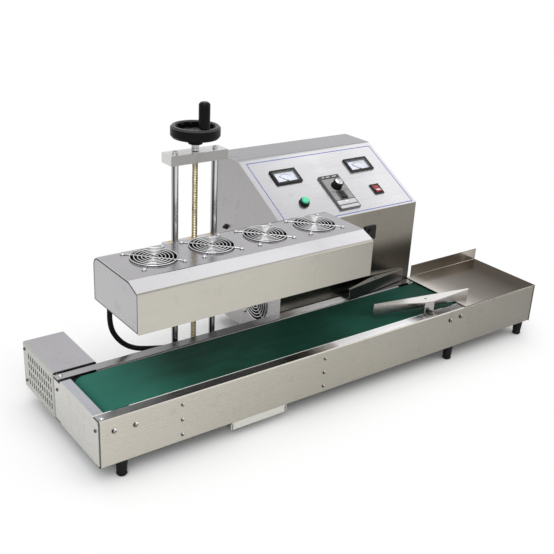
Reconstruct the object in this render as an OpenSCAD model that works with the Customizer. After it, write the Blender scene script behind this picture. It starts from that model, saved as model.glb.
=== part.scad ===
// Bench-top induction cap sealer.
// A belt conveyor carries capped bottles under a fan-cooled sealing head, which a handwheel raises and
// lowers on a two-rod column. A cabinet with a sloped panel stands behind the conveyor.
// Lengths run from the drive end (x), the face of the front rail (y) and the floor (z).

/* [Conveyor] */
// Length of the conveyor over its end sheets
frame_l = 1005; // [950:5:1300]
// Width over the two rails
frame_w = 168; // [150:1:210]
// Height of the rails
rail_h = 83; // [78:1:110]
// Width of each rail's top flange
flange_w = 24; // [20:1:30]
// Depth of the lip along the inner edge of a flange
lip_h = 10; // [6:1:12]
// Thickness of the folded sheets
sheet_t = 1.5; // [1:0.1:2]
// Radius of a fold at the middle of the sheet
bend_r = 2.5; // [2:0.5:4]
// Drive roller axis, from the drive end
drive_x = 42; // [38:1:60]
// Diameter of both rollers
roller_d = 38; // [32:1:42]
// Diameter of the roller shafts
shaft_d = 12; // [8:1:16]
// Thickness of the belt
belt_t = 2; // [1:0.5:4]
// Belt surface below the rail flanges
belt_drop = 2; // [1:0.5:5]
// Length of the fixed infeed table
table_l = 216; // [150:2:260]
// Height of the fence along the infeed table
fence_h = 25; // [15:1:40]

/* [Base] */
// Height of the rubber feet
foot_h = 32; // [20:1:50]
// Diameter of a foot where it meets the rail
foot_d = 20; // [14:1:24]
// Width of the base channel that carries the column
channel_w = 115; // [110:1:150]
// Height of the base channel
channel_h = 14; // [8:1:18]
// Edge of the base channel nearest the drive end
channel_x = 238; // [200:1:260]

/* [Motor cover] */
// Length of the motor cover along the conveyor
cover_l = 76; // [70:1:120]
// Depth of the motor cover behind the rear rail
cover_w = 130; // [124:1:180]
// Rise of the motor cover above the rail flanges
cover_rise = 2; // [0.5:0.5:10]

/* [Guides] */
// Height of the bottle guides
guide_h = 24; // [16:1:40]
// Width of the front guide's top at its middle
guide_lens = 26; // [20:1:30]
// Travel of the front guide inwards along its slot
guide_travel = 4; // [1:0.5:4]

/* [Head] */
// Length of the sealing head
head_l = 460; // [440:5:520]
// Depth of the sealing head
head_w = 150; // [140:1:150]
// Height of the sealing head
head_h = 78; // [70:1:110]
// End of the head nearest the drive end
head_x = 76; // [40:1:120]
// Gap between the rail flanges and the head's underside
head_clear = 117; // [60:1:180]
// Width of the slope along the head's front top edge
slope_w = 30; // [15:1:36]
// Drop of that slope
slope_h = 12; // [6:1:20]
// Radius of the head's rear top fold
head_r = 18; // [5:1:18]
// Spacing of the head fans
fan_pitch = 107.5; // [90:0.5:110]

/* [Fans] */
// Side of a square fan frame
fan_size = 80; // [80:1:84]
// Depth of a fan frame
fan_depth = 25; // [20:1:32]
// Bore of a fan frame
fan_bore = 76; // [72:1:78]
// Spacing of a fan's corner screws
fan_screws = 71.5; // [71:0.5:72]
// Diameter of a rotor hub
hub_d = 34; // [28:1:40]
// Blades on a rotor
blade_count = 7; // [5:1:9]
// Diameter of the guard wire
wire_d = 2; // [1.5:0.1:2.5]

/* [Column] */
// Column axis, from the drive end
column_x = 281.5; // [270:0.5:300]
// Column axis behind the rear rail
column_back = 30; // [29:1:40]
// Diameter of the guide rods
rod_d = 12; // [8:1:16]
// Spacing of the guide rods
rod_pitch = 78; // [70:1:84]
// Diameter of the lead screw
screw_d = 10; // [8:1:14]
// Underside of the top bar above the rail flanges
bar_rise = 313; // [300:1:400]
// Thickness of the top bar
bar_t = 17; // [12:1:25]
// Diameter of the handwheel
wheel_d = 84; // [70:1:110]
// Height of the handwheel's rim
wheel_h = 18; // [14:1:26]
// Diameter of the crank grip
grip_d = 19; // [14:1:22]
// Length of the crank grip
grip_l = 44; // [36:1:60]

/* [Cabinet] */
// Side of the cabinet nearest the drive end
cab_x = 455; // [450:1:480]
// Width of the cabinet
cab_w = 337; // [320:1:400]
// Depth of the cabinet
cab_d = 240; // [230:1:300]
// Height of the cabinet
cab_h = 341; // [330:1:400]
// Height of the cabinet's front face
cab_front_h = 252; // [240:1:280]
// Depth that the sloped panel runs back
panel_run = 158; // [150:1:180]
// Radius of the fold between panel and top
panel_r = 22; // [8:1:30]

/* [Panel] */
// Middle of the panel's controls, from the cabinet's side
panel_mid = 171.5; // [165:0.5:175]
// Offset of each meter from that middle
meter_x = 93; // [80:1:110]
// Middle of the meters up the slope
meter_s = 121; // [110:1:130]
// Width of a meter
meter_w = 60; // [54:1:70]
// Height of a meter
meter_h = 36; // [32:1:44]
// Middle of the speed controller up the slope
speed_s = 59.5; // [55:0.5:70]
// Width of the speed controller
speed_w = 50; // [46:1:60]
// Length of the speed controller
speed_h = 89; // [84:1:100]
// Diameter of the speed knob
knob_d = 20; // [16:1:24]
// Middle of the start button and power switch up the slope
switch_s = 50; // [40:1:56]
// Diameter of the start button's collar
collar_d = 22; // [18:1:26]

/* [Fits] */
// Running clearance on a radius
run_gap = 0.05; // [0.02:0.01:0.1]
// Gap between pieces that don't touch
free_gap = 0.3; // [0.2:0.1:0.5]

/* [Hidden] */
$fn = 48;

// Conveyor levels and places
half_t = sheet_t / 2;
corner = bend_r + sheet_t;
rail_z = foot_h;
top_z = foot_h + rail_h;
roller_r = roller_d / 2;
belt_r = roller_r + free_gap + belt_t;
axis_z = top_z - belt_drop - belt_r;
bed_z = top_z - belt_drop - belt_t;
table_x = frame_l - table_l;
idler_x = table_x - 2;
belt_edge = flange_w + 1;
notch_w = 4;
notch_l = belt_r + 2;
front_notch = [30, 61];
idler_notch = [table_x - 44, table_x - 16];
end_gap = 1;
rail_foot_w = 15;
end_flange_w = 19;
fence_inset = 11;
bearing_t = 14;
bearing_d = 34;
bearing_pitch = 36;
bearing_lug_d = 16;
tie_x = [143, 432];
tie_z = rail_z + 6;
tie_lug = 14;
window_h = 14;
bed_skirt = 14;

// Motor behind the drive roller
box_d = 32;
box_side = 54;
box_drop = 12;
motor_d = 50;
motor_l = 84;
shaft_reach = box_d - 4;
slot_w = 4;
slot_h = 11;
slot_pitch = [9.5, 16];
slot_count = [11, 4];

// Guides
guide_z = top_z + sheet_t + free_gap;
front_guide_from = [table_x - 191, 62];
front_guide_to = [table_x + 27, 22];
rear_guide_from = [table_x - 185, frame_w - 28];
rear_guide_to = [table_x - 17, frame_w - 3];
guide_tip = 4;
tab_w = 22;
foot_l = 13;
clamp_d = 4;
rear_lens = 12;

// Head
head_y = 16;
head_z = top_z + head_clear;
head_top = head_z + head_h;
head_back = head_y + head_w;
head_path = [
    [head_back - half_t, head_z],
    [head_back - half_t, head_top - half_t],
    [head_y + slope_w, head_top - half_t],
    [head_y + half_t, head_top - slope_h],
    [head_y + half_t, head_z]
];
head_bends = [0, head_r, 8, 6, 0];
end_inset = 3.5;
base_t = 8;
coil_t = 10;
coil_w = 5;
coil_turns = 3;
ferrite_count = 9;
ferrite_t = 12;
ferrite_w = 18;
fan_mid = [head_x + head_l / 2 + 6.5, (head_y + slope_w + head_back) / 2];
guard_rings = [7, 13, 19, 25, 31, 37.5];
rotor_gap = 1;
fan_plate = 3;
pin_d = 3;

// Column and handwheel
column_y = frame_w + column_back;
bar_z = top_z + bar_rise;
bar_l = rod_pitch + 32;
bar_w = 32;
column_h = 45;
column_l = bar_l + 10;
column_w = 44;
rod_seat = 10;
bush_d = rod_d + 8;
nut_d = screw_d + 9;
carriage_h = 46;
carriage_z = head_z + 8;
neck_d = 13;
neck_h = 12;
hub_h = 13;
rim_w = 9;
wheel_z = bar_z + bar_t + neck_h;
crank_r = wheel_d / 2 - 13;
crank_turn = -92;
grip_pin_d = 8;
lobes = 12;
lobe_d = 7;
web_t = 6;

// Cabinet and panel
cab_y = frame_w;
cab_back = cab_y + cab_d;
cab_top = rail_z + cab_h;
cab_path = [
    [cab_y + half_t, rail_z],
    [cab_y + half_t, rail_z + cab_front_h],
    [cab_y + panel_run, cab_top - half_t],
    [cab_back - half_t, cab_top - half_t],
    [cab_back - half_t, rail_z]
];
cab_bends = [0, bend_r, panel_r, 6, 0];
panel_rise = cab_path[2] - cab_path[1];
panel_tilt = atan2(panel_rise[1], panel_rise[0]);
side_inset = 2;
cab_fan_y = cab_y + 83;
cab_fan_z = top_z - 10;
gland_y = cab_y + 22;
gland_z = 48;
gland_d = 18;
gland_l = 18;
fuse_y = cab_y + 194;
fuse_z = top_z + 112;
fuse_d = 7;
inlet_x = cab_x + 60;
inlet_z = rail_z + 50;
inlet_lip = 2;
socket_x = cab_x + 215;
socket_z = top_z + 124;
vent_count = 9;

// Meter, switch and knob details
bezel_t = 4;
bezel_rim = 4;
pane_t = 1.5;
dial_depth = 5;
dial_z = bezel_t - pane_t - dial_depth;
barrel_l = 30;
needle_l = 20;
needle_t = 0.6;
needle_seat = 3;
rocker_r = 9.5;
rocker_tilt = 9;
rocker_pin_d = 3;
rocker_pin_l = 1.5;
run_w = 12;
power_w = 15;
plate_t = 4;
cap_d = 15;
cap_travel = 3;
knob_s = 13;
run_s = -11;
rocker_lift = 1;

// The head cable, from the outlet on the head round its hanging loop to the cabinet's gland
cable_d = 9;
cable_sides = 10;
cable_steps = 4;
outlet_x = 110;
outlet_y = head_back + 17;
outlet_z = head_z - 10;
cable_route = [
    [110, 183, 222],
    [110, 183, 200],
    [110, 183, 178],
    [114, 183, 158],
    [124, 183, 140],
    [138, 183, 125],
    [156, 183, 114],
    [178, 183, 107],
    [205, 183, 101],
    [240, 183, 95],
    [280, 184, 90],
    [320, 186, 86],
    [349, 188, 80.4],
    [378, 189.5, 67],
    [408, 190, 53.6],
    [437, 190, 48]
];

// The part's own frame: origin on the floor in the middle of the object's box
depth = cab_back + inlet_lip;
module placed() translate([-frame_l / 2, -depth / 2, 0]) children();

// Vector helpers for sheets folded from a middle line
function unit(v) = v / norm(v);
function left_of(v) = [-v[1], v[0]];
function turn(a, b) = atan2(a[0] * b[1] - a[1] * b[0], a[0] * b[0] + a[1] * b[1]);
function run_at(path, i) = unit(path[i + 1] - path[i]);
function turn_at(path, i) = turn(run_at(path, i - 1), run_at(path, i));
function bend_trim(path, i, r) =
    i == 0 || i == len(path) - 1 ? 0 : r[i] * tan(abs(turn_at(path, i)) / 2);
function bend_centre(path, i, r) =
    path[i] - run_at(path, i - 1) * bend_trim(path, i, r)
    + left_of(run_at(path, i - 1)) * sign(turn_at(path, i)) * r[i];
function all_bends(path) = [for (p = path) bend_r];

// Points of a line that keeps a set distance from a folded sheet's middle line, with each fold as an arc.
// The distance counts towards the inside of the first fold.
function fold_arc(path, i, r, inset) =
    let (side = sign(turn_at(path, i)))
    let (inward = side == sign(turn_at(path, 1)) ? inset : -inset)
    let (out = -left_of(run_at(path, i - 1)) * side)
    let (from = atan2(out[1], out[0]))
    let (n = r[i] > 2 * bend_r ? 12 : 5)
    [for (k = [0:n])
        let (a = from + turn_at(path, i) * k / n)
        bend_centre(path, i, r) + (r[i] - inward) * [cos(a), sin(a)]];
function inset_end(path, i, seg, inset) =
    path[i] + left_of(run_at(path, seg)) * sign(turn_at(path, 1)) * inset;
function inset_line(path, r, inset) = concat(
    [inset_end(path, 0, 0, inset)],
    [for (i = [1:len(path) - 2]) each fold_arc(path, i, r, inset)],
    [inset_end(path, len(path) - 1, len(path) - 2, inset)]);
function reversed(list) = [for (i = [len(list) - 1:-1:0]) list[i]];

// A folded sheet's section, half a thickness each side of its middle line
module folded(path, r) {
    polygon(concat(inset_line(path, r, half_t), reversed(inset_line(path, r, -half_t))));
}

// Sections drawn in (y, z) run along x, and sections drawn in (x, z) run along y
module along_x(l) rotate([90, 0, 90]) linear_extrude(l) children();
module along_y(l) translate([0, l, 0]) rotate([90, 0, 0]) linear_extrude(l) children();
module across_y(p) translate([p[0], p[1], p[2]]) rotate([-90, 0, 0]) children();
module rear_side() translate([0, frame_w, 0]) mirror([0, 1, 0]) children();

// A point on the sloped panel: x from the cabinet's side, s up the slope, z out of the panel
module on_panel(x, s) {
    translate([cab_x + x, cab_path[1][0], cab_path[1][1]])
        rotate([panel_tilt, 0, 0])
        translate([0, s, half_t])
        children();
}

module block(w, d, h) translate([-w / 2, -d / 2, 0]) cube([w, d, h]);

// Conveyor frame

module rail_sheet() {
    path = [
        [flange_w - half_t, top_z - lip_h],
        [flange_w - half_t, top_z - half_t],
        [half_t, top_z - half_t],
        [half_t, rail_z + half_t],
        [rail_foot_w, rail_z + half_t]
    ];
    difference() {
        along_x(frame_l - corner) folded(path, all_bends(path));
        roller_notch(idler_notch);
    }
}

// The lip and the flange's edge are cut away beside each roller
module roller_notch(span) {
    translate([span[0], flange_w - notch_w, top_z - lip_h - 1])
        cube([span[1] - span[0], notch_w + 1, lip_h + 2]);
}

module front_rail() color("#b4aea4") placed() difference() {
    rail_sheet();
    roller_notch(front_notch);
    translate([-1, flange_w - notch_w, top_z - lip_h - 1])
        cube([end_flange_w + 2, notch_w + 1, lip_h + 1 - sheet_t]);
}

module rear_rail() color("#b4aea4") placed() {
    difference() {
        rear_side() rail_sheet();
        rear_side() roller_notch([-1, drive_x + notch_l]);
        across_y([drive_x, frame_w - 2 * sheet_t, axis_z]) cylinder(d = shaft_d + 8, h = 4 * sheet_t);
    }
}

module end_plate() color("#bdb8ae") placed() {
    path = [
        [half_t, rail_z + sheet_t],
        [half_t, top_z - sheet_t - half_t],
        [end_flange_w, top_z - sheet_t - half_t]
    ];
    side_w = frame_w - 2 * sheet_t - 2 * end_gap;
    translate([0, corner, 0]) along_y(frame_w - flange_w - end_gap - corner) folded(path, all_bends(path));
    translate([0, sheet_t + end_gap, rail_z + corner]) cube([sheet_t, side_w, rail_h - 2 * corner - sheet_t]);
}

module infeed_table() color("#a49c94") placed() {
    fence_path = [
        [0, top_z + half_t],
        [frame_w - half_t, top_z + half_t],
        [frame_w - half_t, top_z + sheet_t + fence_h]
    ];
    skirt_path = [
        [frame_l - 2 * flange_w, top_z + half_t],
        [frame_l - half_t, top_z + half_t],
        [frame_l - half_t, rail_z]
    ];
    difference() {
        union() {
            translate([table_x, 0, 0]) along_x(table_l - corner) folded(fence_path, all_bends(fence_path));
            along_y(frame_w) folded(skirt_path, all_bends(skirt_path));
        }
        translate([table_x - 1, frame_w - corner - 1, top_z + sheet_t])
            cube([fence_inset + 1, corner + 2, fence_h + 1]);
    }
}

module belt_bed() color("#9a948c") placed() {
    from = drive_x + roller_r + 6;
    to = idler_x - roller_r - 6;
    path = [
        [flange_w + half_t, bed_z - bed_skirt],
        [flange_w + half_t, bed_z - half_t],
        [frame_w - flange_w - half_t, bed_z - half_t],
        [frame_w - flange_w - half_t, bed_z - bed_skirt]
    ];
    translate([from, 0, 0]) along_x(to - from) folded(path, all_bends(path));
}

module cross_ties() color("#8f8a82") placed() for (x = tie_x) translate([x, 0, 0]) {
    tie_top = bed_z - bed_skirt - 1;
    riser = flange_w + 6;
    window_z = axis_z - belt_r - window_h / 2;
    difference() {
        union() {
            translate([0, sheet_t, tie_z]) cube([sheet_t, frame_w - 2 * sheet_t, tie_top - tie_z]);
            translate([0, riser, tie_z]) cube([sheet_t, frame_w - 2 * riser, bed_z - sheet_t - tie_z]);
            for (y = [sheet_t, frame_w - 2 * sheet_t])
                translate([-tie_lug / 2, y, tie_z]) cube([tie_lug, sheet_t, tie_top - tie_z]);
        }
        translate([-1, flange_w - 4, window_z])
            cube([sheet_t + 2, frame_w - 2 * flange_w + 8, window_h]);
    }
}

module belt_section(r) {
    for (x = [drive_x, idler_x]) translate([x, axis_z]) circle(r, $fn = 96);
    translate([drive_x, axis_z - r]) square([idler_x - drive_x, 2 * r]);
}

module conveyor_belt() color("#1f6b4a") placed() {
    translate([0, belt_edge, 0]) along_y(frame_w - 2 * belt_edge) difference() {
        belt_section(belt_r);
        belt_section(roller_r + free_gap);
    }
}

// A roller with its shaft, drawn along y from the front bearing
module roller(shaft_end) {
    face = belt_edge + 1;
    shaft_from = sheet_t + free_gap;
    across_y([0, face, axis_z]) cylinder(d = roller_d, h = frame_w - 2 * face);
    across_y([0, shaft_from, axis_z]) cylinder(d = shaft_d, h = shaft_end - shaft_from);
}

module drive_roller() color("#c8c8c8") placed() translate([drive_x, 0, 0]) roller(frame_w + shaft_reach);

module idler_roller() color("#c8c8c8") placed()
    translate([idler_x, 0, 0]) roller(frame_w - sheet_t - free_gap);

module bearing_blocks() color("#5c5c5c") placed()
    for (x = [drive_x, idler_x], y = [sheet_t, frame_w - sheet_t - bearing_t])
        translate([x, y, axis_z]) along_y(bearing_t) difference() {
            union() {
                circle(d = bearing_d);
                square([bearing_pitch, bearing_lug_d], center = true);
                for (s = [-1, 1]) translate([s * bearing_pitch / 2, 0]) circle(d = bearing_lug_d);
            }
            circle(d = shaft_d + 2 * run_gap);
        }

module base_channel() color("#d8d6cf") placed() {
    path = [
        [channel_x + half_t, rail_z - channel_h],
        [channel_x + half_t, rail_z - half_t],
        [channel_x + channel_w - half_t, rail_z - half_t],
        [channel_x + channel_w - half_t, rail_z - channel_h]
    ];
    channel_l = column_y + column_w / 2;
    translate([0, 2, 0]) along_y(channel_l - 2) folded(path, all_bends(path));
    translate([channel_x + corner, 2, rail_z - channel_h])
        cube([channel_w - 2 * corner, sheet_t, channel_h - half_t]);
}

module feet() color("#1c1c1c") placed() {
    in = 14;
    mid_x = cab_x + cab_w - 22;
    places = [
        [drive_x, in], [mid_x, in], [frame_l - 18, in], [drive_x, frame_w - in], [frame_l - 18, frame_w - in],
        [cab_x + 60, cab_back - 40], [mid_x, cab_back - 40]
    ];
    sole = 3;
    for (p = places) translate([p[0], p[1], 0]) {
        translate([0, 0, sole]) cylinder(d1 = foot_d - 4, d2 = foot_d, h = foot_h - sole);
        cylinder(d1 = foot_d - 6, d2 = foot_d - 2, h = sole);
    }
}

module motor_cover() color("#b9b3a8") placed() {
    cover_top = top_z + cover_rise;
    path = [
        [half_t, rail_z],
        [half_t, cover_top - half_t],
        [cover_l - half_t, cover_top - half_t],
        [cover_l - half_t, rail_z]
    ];
    slot_y = frame_w + 10;
    slot_z = rail_z + 12;
    difference() {
        union() {
            translate([0, frame_w, 0]) along_y(cover_w) folded(path, all_bends(path));
            translate([half_t, frame_w + cover_w - sheet_t, rail_z])
                cube([cover_l - sheet_t, sheet_t, rail_h + cover_rise - corner]);
            translate([corner, frame_w + cover_w - sheet_t, rail_z])
                cube([cover_l - 2 * corner, sheet_t, rail_h + cover_rise - half_t]);
        }
        for (i = [0:slot_count[0] - 1], j = [0:slot_count[1] - 1])
            translate([-1, slot_y + i * slot_pitch[0], slot_z + j * slot_pitch[1]])
                cube([sheet_t + 2, slot_w, slot_h]);
    }
}

module gear_motor() color("#6d7074") placed() {
    difference() {
        translate([drive_x - box_side / 2, frame_w, axis_z - box_drop - box_side / 2])
            cube([box_side, box_d, box_side]);
        across_y([drive_x, frame_w - 1, axis_z]) cylinder(d = shaft_d + 2 * run_gap, h = shaft_reach + 2);
    }
    across_y([drive_x, frame_w + box_d - 1, axis_z - box_drop]) cylinder(d = motor_d, h = motor_l - 9);
    across_y([drive_x, frame_w + box_d + motor_l - 12, axis_z - box_drop]) cylinder(d = motor_d - 8, h = 12);
}

// Bottle guides

function guide_len(a, b) = norm(b - a);
function guide_turn(a, b) = atan2(b[1] - a[1], b[0] - a[0]);

// A guide drawn along x: an upright plate with a lens-shaped top that widens to the outside
module guide_sheet(l, lens) {
    mid = l / 2;
    top_shape = [
        [0, sheet_t], [l, sheet_t], [l, sheet_t - guide_tip],
        [mid + tab_w / 2, -lens], [mid - tab_w / 2, -lens], [0, sheet_t - guide_tip]
    ];
    cube([l, sheet_t, guide_h]);
    difference() {
        translate([0, 0, guide_h - sheet_t]) linear_extrude(sheet_t) polygon(top_shape);
        translate([mid, -lens / 2 + 2, guide_h - 2 * sheet_t]) cylinder(d = 5, h = 3 * sheet_t);
    }
    translate([mid - tab_w / 2, -lens, 0]) cube([tab_w, sheet_t, guide_h]);
}

module front_guide() color("#dcdad6") placed() {
    l = guide_len(front_guide_from, front_guide_to);
    slot_l = clamp_d + 2 * guide_travel + 1;
    slot_y = -guide_lens - foot_l / 2 + 1;
    translate([front_guide_from[0], front_guide_from[1], guide_z])
        rotate(guide_turn(front_guide_from, front_guide_to))
        difference() {
            union() {
                guide_sheet(l, guide_lens);
                translate([l / 2 - tab_w / 2, -guide_lens - foot_l, top_z + free_gap - guide_z])
                    cube([tab_w, foot_l + sheet_t, sheet_t]);
                translate([l / 2 - tab_w / 2, -guide_lens, top_z + free_gap - guide_z])
                    cube([tab_w, sheet_t, 2 * sheet_t]);
            }
            translate([l / 2 - clamp_d / 2 - free_gap, slot_y - slot_l / 2, top_z - guide_z])
                cube([clamp_d + 2 * free_gap, slot_l, 3 * sheet_t]);
        }
}

module rear_guide() color("#c9c5bf") placed() {
    l = guide_len(rear_guide_from, rear_guide_to);
    translate([rear_guide_from[0], rear_guide_from[1], guide_z])
        rotate(guide_turn(rear_guide_from, rear_guide_to))
        mirror([0, 1, 0]) {
            guide_sheet(l, rear_lens);
            translate([l / 2 - tab_w / 2, -rear_lens, top_z - guide_z])
                cube([tab_w, rear_lens - 2, sheet_t]);
            translate([l / 2 - tab_w / 2, -rear_lens, top_z - guide_z])
                cube([tab_w, sheet_t, 2 * sheet_t]);
        }
}

// Stud and knurled nut through the slot in the front guide's foot
module guide_clamp() color("#2b2b2b") placed() {
    l = guide_len(front_guide_from, front_guide_to);
    slot_y = -guide_lens - foot_l / 2 + 1;
    seat = top_z + 2 * free_gap + sheet_t;
    translate([front_guide_from[0], front_guide_from[1], 0])
        rotate(guide_turn(front_guide_from, front_guide_to))
        translate([l / 2, slot_y, 0]) {
            translate([0, 0, top_z]) cylinder(d = clamp_d, h = 10);
            translate([0, 0, seat]) cylinder(d = 10, h = 1);
            translate([0, 0, seat + 1]) cylinder(d = 9, h = 5);
        }
}

// Cabinet

module cabinet_cover() color("#c6c2ba") placed() {
    difference() {
        translate([cab_x, 0, 0]) along_x(cab_w) folded(cab_path, cab_bends);
        for (s = [-1, 1]) on_panel(panel_mid + s * meter_x, meter_s)
            through_panel(meter_w - 2 * bezel_rim, meter_h - 2 * bezel_rim);
        on_panel(panel_mid, speed_s) through_panel(speed_w - 4, speed_h - 6);
        on_panel(panel_mid + meter_x, switch_s) through_panel(power_w + 6, 2 * rocker_r + 4);
        on_panel(panel_mid - meter_x, switch_s)
            translate([0, 0, -2 * sheet_t]) cylinder(d = collar_d - 4, h = 3 * sheet_t);
        across_y([socket_x, cab_y - sheet_t, socket_z]) cylinder(d = 20, h = 3 * sheet_t);
        translate([inlet_x - 15, cab_back - 2 * sheet_t, inlet_z - 11]) cube([30, 3 * sheet_t, 22]);
    }
}

module through_panel(w, h) translate([-w / 2, -h / 2, -2 * sheet_t]) cube([w, h, 3 * sheet_t]);

module cabinet_chassis() color("#9f9a92") placed() {
    gap = half_t + free_gap;
    left_x = cab_x + side_inset;
    right_x = cab_x + cab_w - side_inset - sheet_t;
    difference() {
        union() {
            for (x = [left_x, right_x])
                translate([x, 0, 0]) along_x(sheet_t) polygon(inset_line(cab_path, cab_bends, gap));
            translate([left_x, cab_y + sheet_t + free_gap, rail_z])
                cube([right_x - left_x + sheet_t, cab_d - 2 * sheet_t - 2 * free_gap, sheet_t]);
        }
        translate([left_x - 1, cab_fan_y, cab_fan_z]) rotate([0, 90, 0]) cylinder(d = fan_bore, h = sheet_t + 2);
        translate([left_x - 1, gland_y, gland_z]) rotate([0, 90, 0]) cylinder(d = 12, h = sheet_t + 2);
        translate([left_x - 1, fuse_y, fuse_z]) rotate([0, 90, 0]) cylinder(d = fuse_d, h = sheet_t + 2);
        for (i = [0:vent_count - 1])
            translate([right_x - 1, cab_y + 90 + i * 9, rail_z + 40]) cube([sheet_t + 2, 4, 50]);
    }
}

// A meter drawn on the panel: frame, sunk dial and the barrel behind it
module meter_case() {
    inner_w = meter_w - 2 * bezel_rim;
    inner_h = meter_h - 2 * bezel_rim;
    difference() {
        union() {
            block(meter_w, meter_h, bezel_t);
            translate([0, 0, -barrel_l]) block(inner_w - 1, inner_h - 1, barrel_l + 1);
        }
        translate([0, 0, dial_z]) block(inner_w - 3, inner_h - 3, dial_depth + pane_t);
        translate([0, 0, bezel_t - pane_t]) block(inner_w, inner_h, pane_t + 1);
        translate([0, needle_s(), dial_z - needle_seat]) cylinder(d = pin_d / 2 + 2 * run_gap, h = bezel_t + 4);
    }
}

function needle_s() = -meter_h / 2 + bezel_rim + 4;

module meter_cases() color("#191919") placed()
    for (s = [-1, 1]) on_panel(panel_mid + s * meter_x, meter_s) meter_case();

module meter_windows() color("#e8eef0") placed()
    for (s = [-1, 1]) on_panel(panel_mid + s * meter_x, meter_s)
        translate([0, 0, bezel_t - pane_t])
            block(meter_w - 2 * bezel_rim, meter_h - 2 * bezel_rim, pane_t);

// Needle at zero, on a pin in the dial
module needle() {
    lift = dial_z + dial_depth / 2;
    foot = dial_z - needle_seat + free_gap;
    translate([0, needle_s(), 0]) {
        translate([0, 0, foot]) cylinder(d = pin_d / 2, h = lift + 1 - foot);
        translate([0, 0, lift]) cylinder(d = 4, h = 1);
        rotate(45) translate([-needle_t / 2, 0, lift]) cube([needle_t, needle_l, needle_t]);
    }
}

module left_needle() color("#c03020") placed() on_panel(panel_mid - meter_x, meter_s) needle();

module right_needle() color("#c03020") placed() on_panel(panel_mid + meter_x, meter_s) needle();

// Pocket for a rocker with the bores of its pivot, drawn about the pivot
module rocker_pocket(w) {
    block_h = 2 * rocker_r;
    translate([-w / 2 - free_gap, -rocker_r - free_gap, -7])
        cube([w + 2 * free_gap, block_h + 2 * free_gap, block_h]);
    translate([-w / 2 - rocker_pin_l - free_gap, 0, 0]) rotate([0, 90, 0])
        cylinder(d = rocker_pin_d + 2 * run_gap, h = w + 2 * rocker_pin_l + 2 * free_gap);
}

// Rocker drawn about its pivot at its first stop: two faces that meet in a shallow vee
module rocker(w) {
    half = 2 * rocker_r;
    dip = 3;
    rise = half * tan(rocker_tilt);
    rotate([-rocker_tilt, 0, 0]) {
        translate([-w / 2, 0, 0]) along_x(w) intersection() {
            circle(rocker_r);
            polygon([[-half, -4], [half, -4], [half, dip + rise], [0, dip], [-half, dip + rise]]);
        }
        translate([-w / 2 - rocker_pin_l, 0, 0]) rotate([0, 90, 0])
            cylinder(d = rocker_pin_d, h = w + 2 * rocker_pin_l);
    }
}

module speed_controller() color("#b9bab6") placed() on_panel(panel_mid, speed_s) {
    difference() {
        union() {
            block(speed_w, speed_h, plate_t);
            translate([0, 0, -50]) block(speed_w - 5, speed_h - 7, 51);
            translate([0, run_s, 0]) block(run_w + 6, 2 * rocker_r + 4, plate_t + 1.5);
        }
        translate([0, knob_s, -20]) cylinder(d = 6 + 2 * run_gap, h = 40);
        translate([0, run_s, plate_t + rocker_lift - 2]) rocker_pocket(run_w);
    }
}

module speed_knob() color("#202020") placed() on_panel(panel_mid, speed_s) translate([0, knob_s, 0]) {
    seat = plate_t + free_gap;
    flutes = 12;
    translate([0, 0, -10]) cylinder(d = 6, h = seat + 11);
    translate([0, 0, seat]) cylinder(d = knob_d + 3, h = 2);
    translate([0, 0, seat + 1]) linear_extrude(14) difference() {
        circle(d = knob_d);
        for (k = [0:flutes - 1]) rotate(k * 360 / flutes) translate([knob_d / 2 + 0.5, 0]) circle(d = 3);
    }
}

module run_rocker() color("#181818") placed() on_panel(panel_mid, speed_s)
    translate([0, run_s, plate_t + rocker_lift - 2]) rocker(run_w);

module power_switch() color("#161616") placed() on_panel(panel_mid + meter_x, switch_s) {
    difference() {
        union() {
            block(power_w + 8, 2 * rocker_r + 7, 2.5);
            translate([0, 0, -24]) block(power_w + 5, 2 * rocker_r + 3, 25);
        }
        translate([0, 0, rocker_lift - 1]) rocker_pocket(power_w);
    }
}

module power_rocker() color("#c3161c") placed() on_panel(panel_mid + meter_x, switch_s)
    translate([0, 0, rocker_lift - 1]) rocker(power_w);

module button_collar() color("#151515") placed() on_panel(panel_mid - meter_x, switch_s) difference() {
    union() {
        cylinder(d1 = collar_d, d2 = collar_d - 3, h = 6);
        translate([0, 0, -26]) cylinder(d = collar_d - 5, h = 27);
    }
    translate([0, 0, -6]) cylinder(d = cap_d + 2 * run_gap, h = 20);
}

module start_button() color("#1d9a4a") placed() on_panel(panel_mid - meter_x, switch_s) {
    translate([0, 0, -6 + cap_travel + free_gap]) cylinder(d = cap_d, h = 12);
    translate([0, 0, 6 + cap_travel + free_gap]) cylinder(d1 = cap_d, d2 = cap_d - 3, h = 1.5);
}

// Fans, drawn with their mounting face at z = 0 and the rotor turning about z

module fan_frame() {
    strut = 4;
    difference() {
        translate([0, 0, -fan_depth]) block(fan_size, fan_size, fan_depth);
        translate([0, 0, -fan_depth - 1]) cylinder(d = fan_bore, h = fan_depth + 2, $fn = 72);
        for (x = [-1, 1], y = [-1, 1])
            translate([x * fan_screws / 2, y * fan_screws / 2, -fan_depth - 1]) cylinder(d = 4, h = fan_depth + 2);
    }
    translate([0, 0, -fan_depth]) difference() {
        union() {
            cylinder(d = hub_d, h = fan_plate);
            for (a = [0:90:270]) rotate(a)
                translate([hub_d / 2 - 2, -strut / 2, 0]) cube([fan_bore / 2 - hub_d / 2 + 3, strut, fan_plate]);
        }
        translate([0, 0, -1]) cylinder(d = pin_d + 2 * run_gap, h = fan_plate + 2);
    }
}

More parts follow.
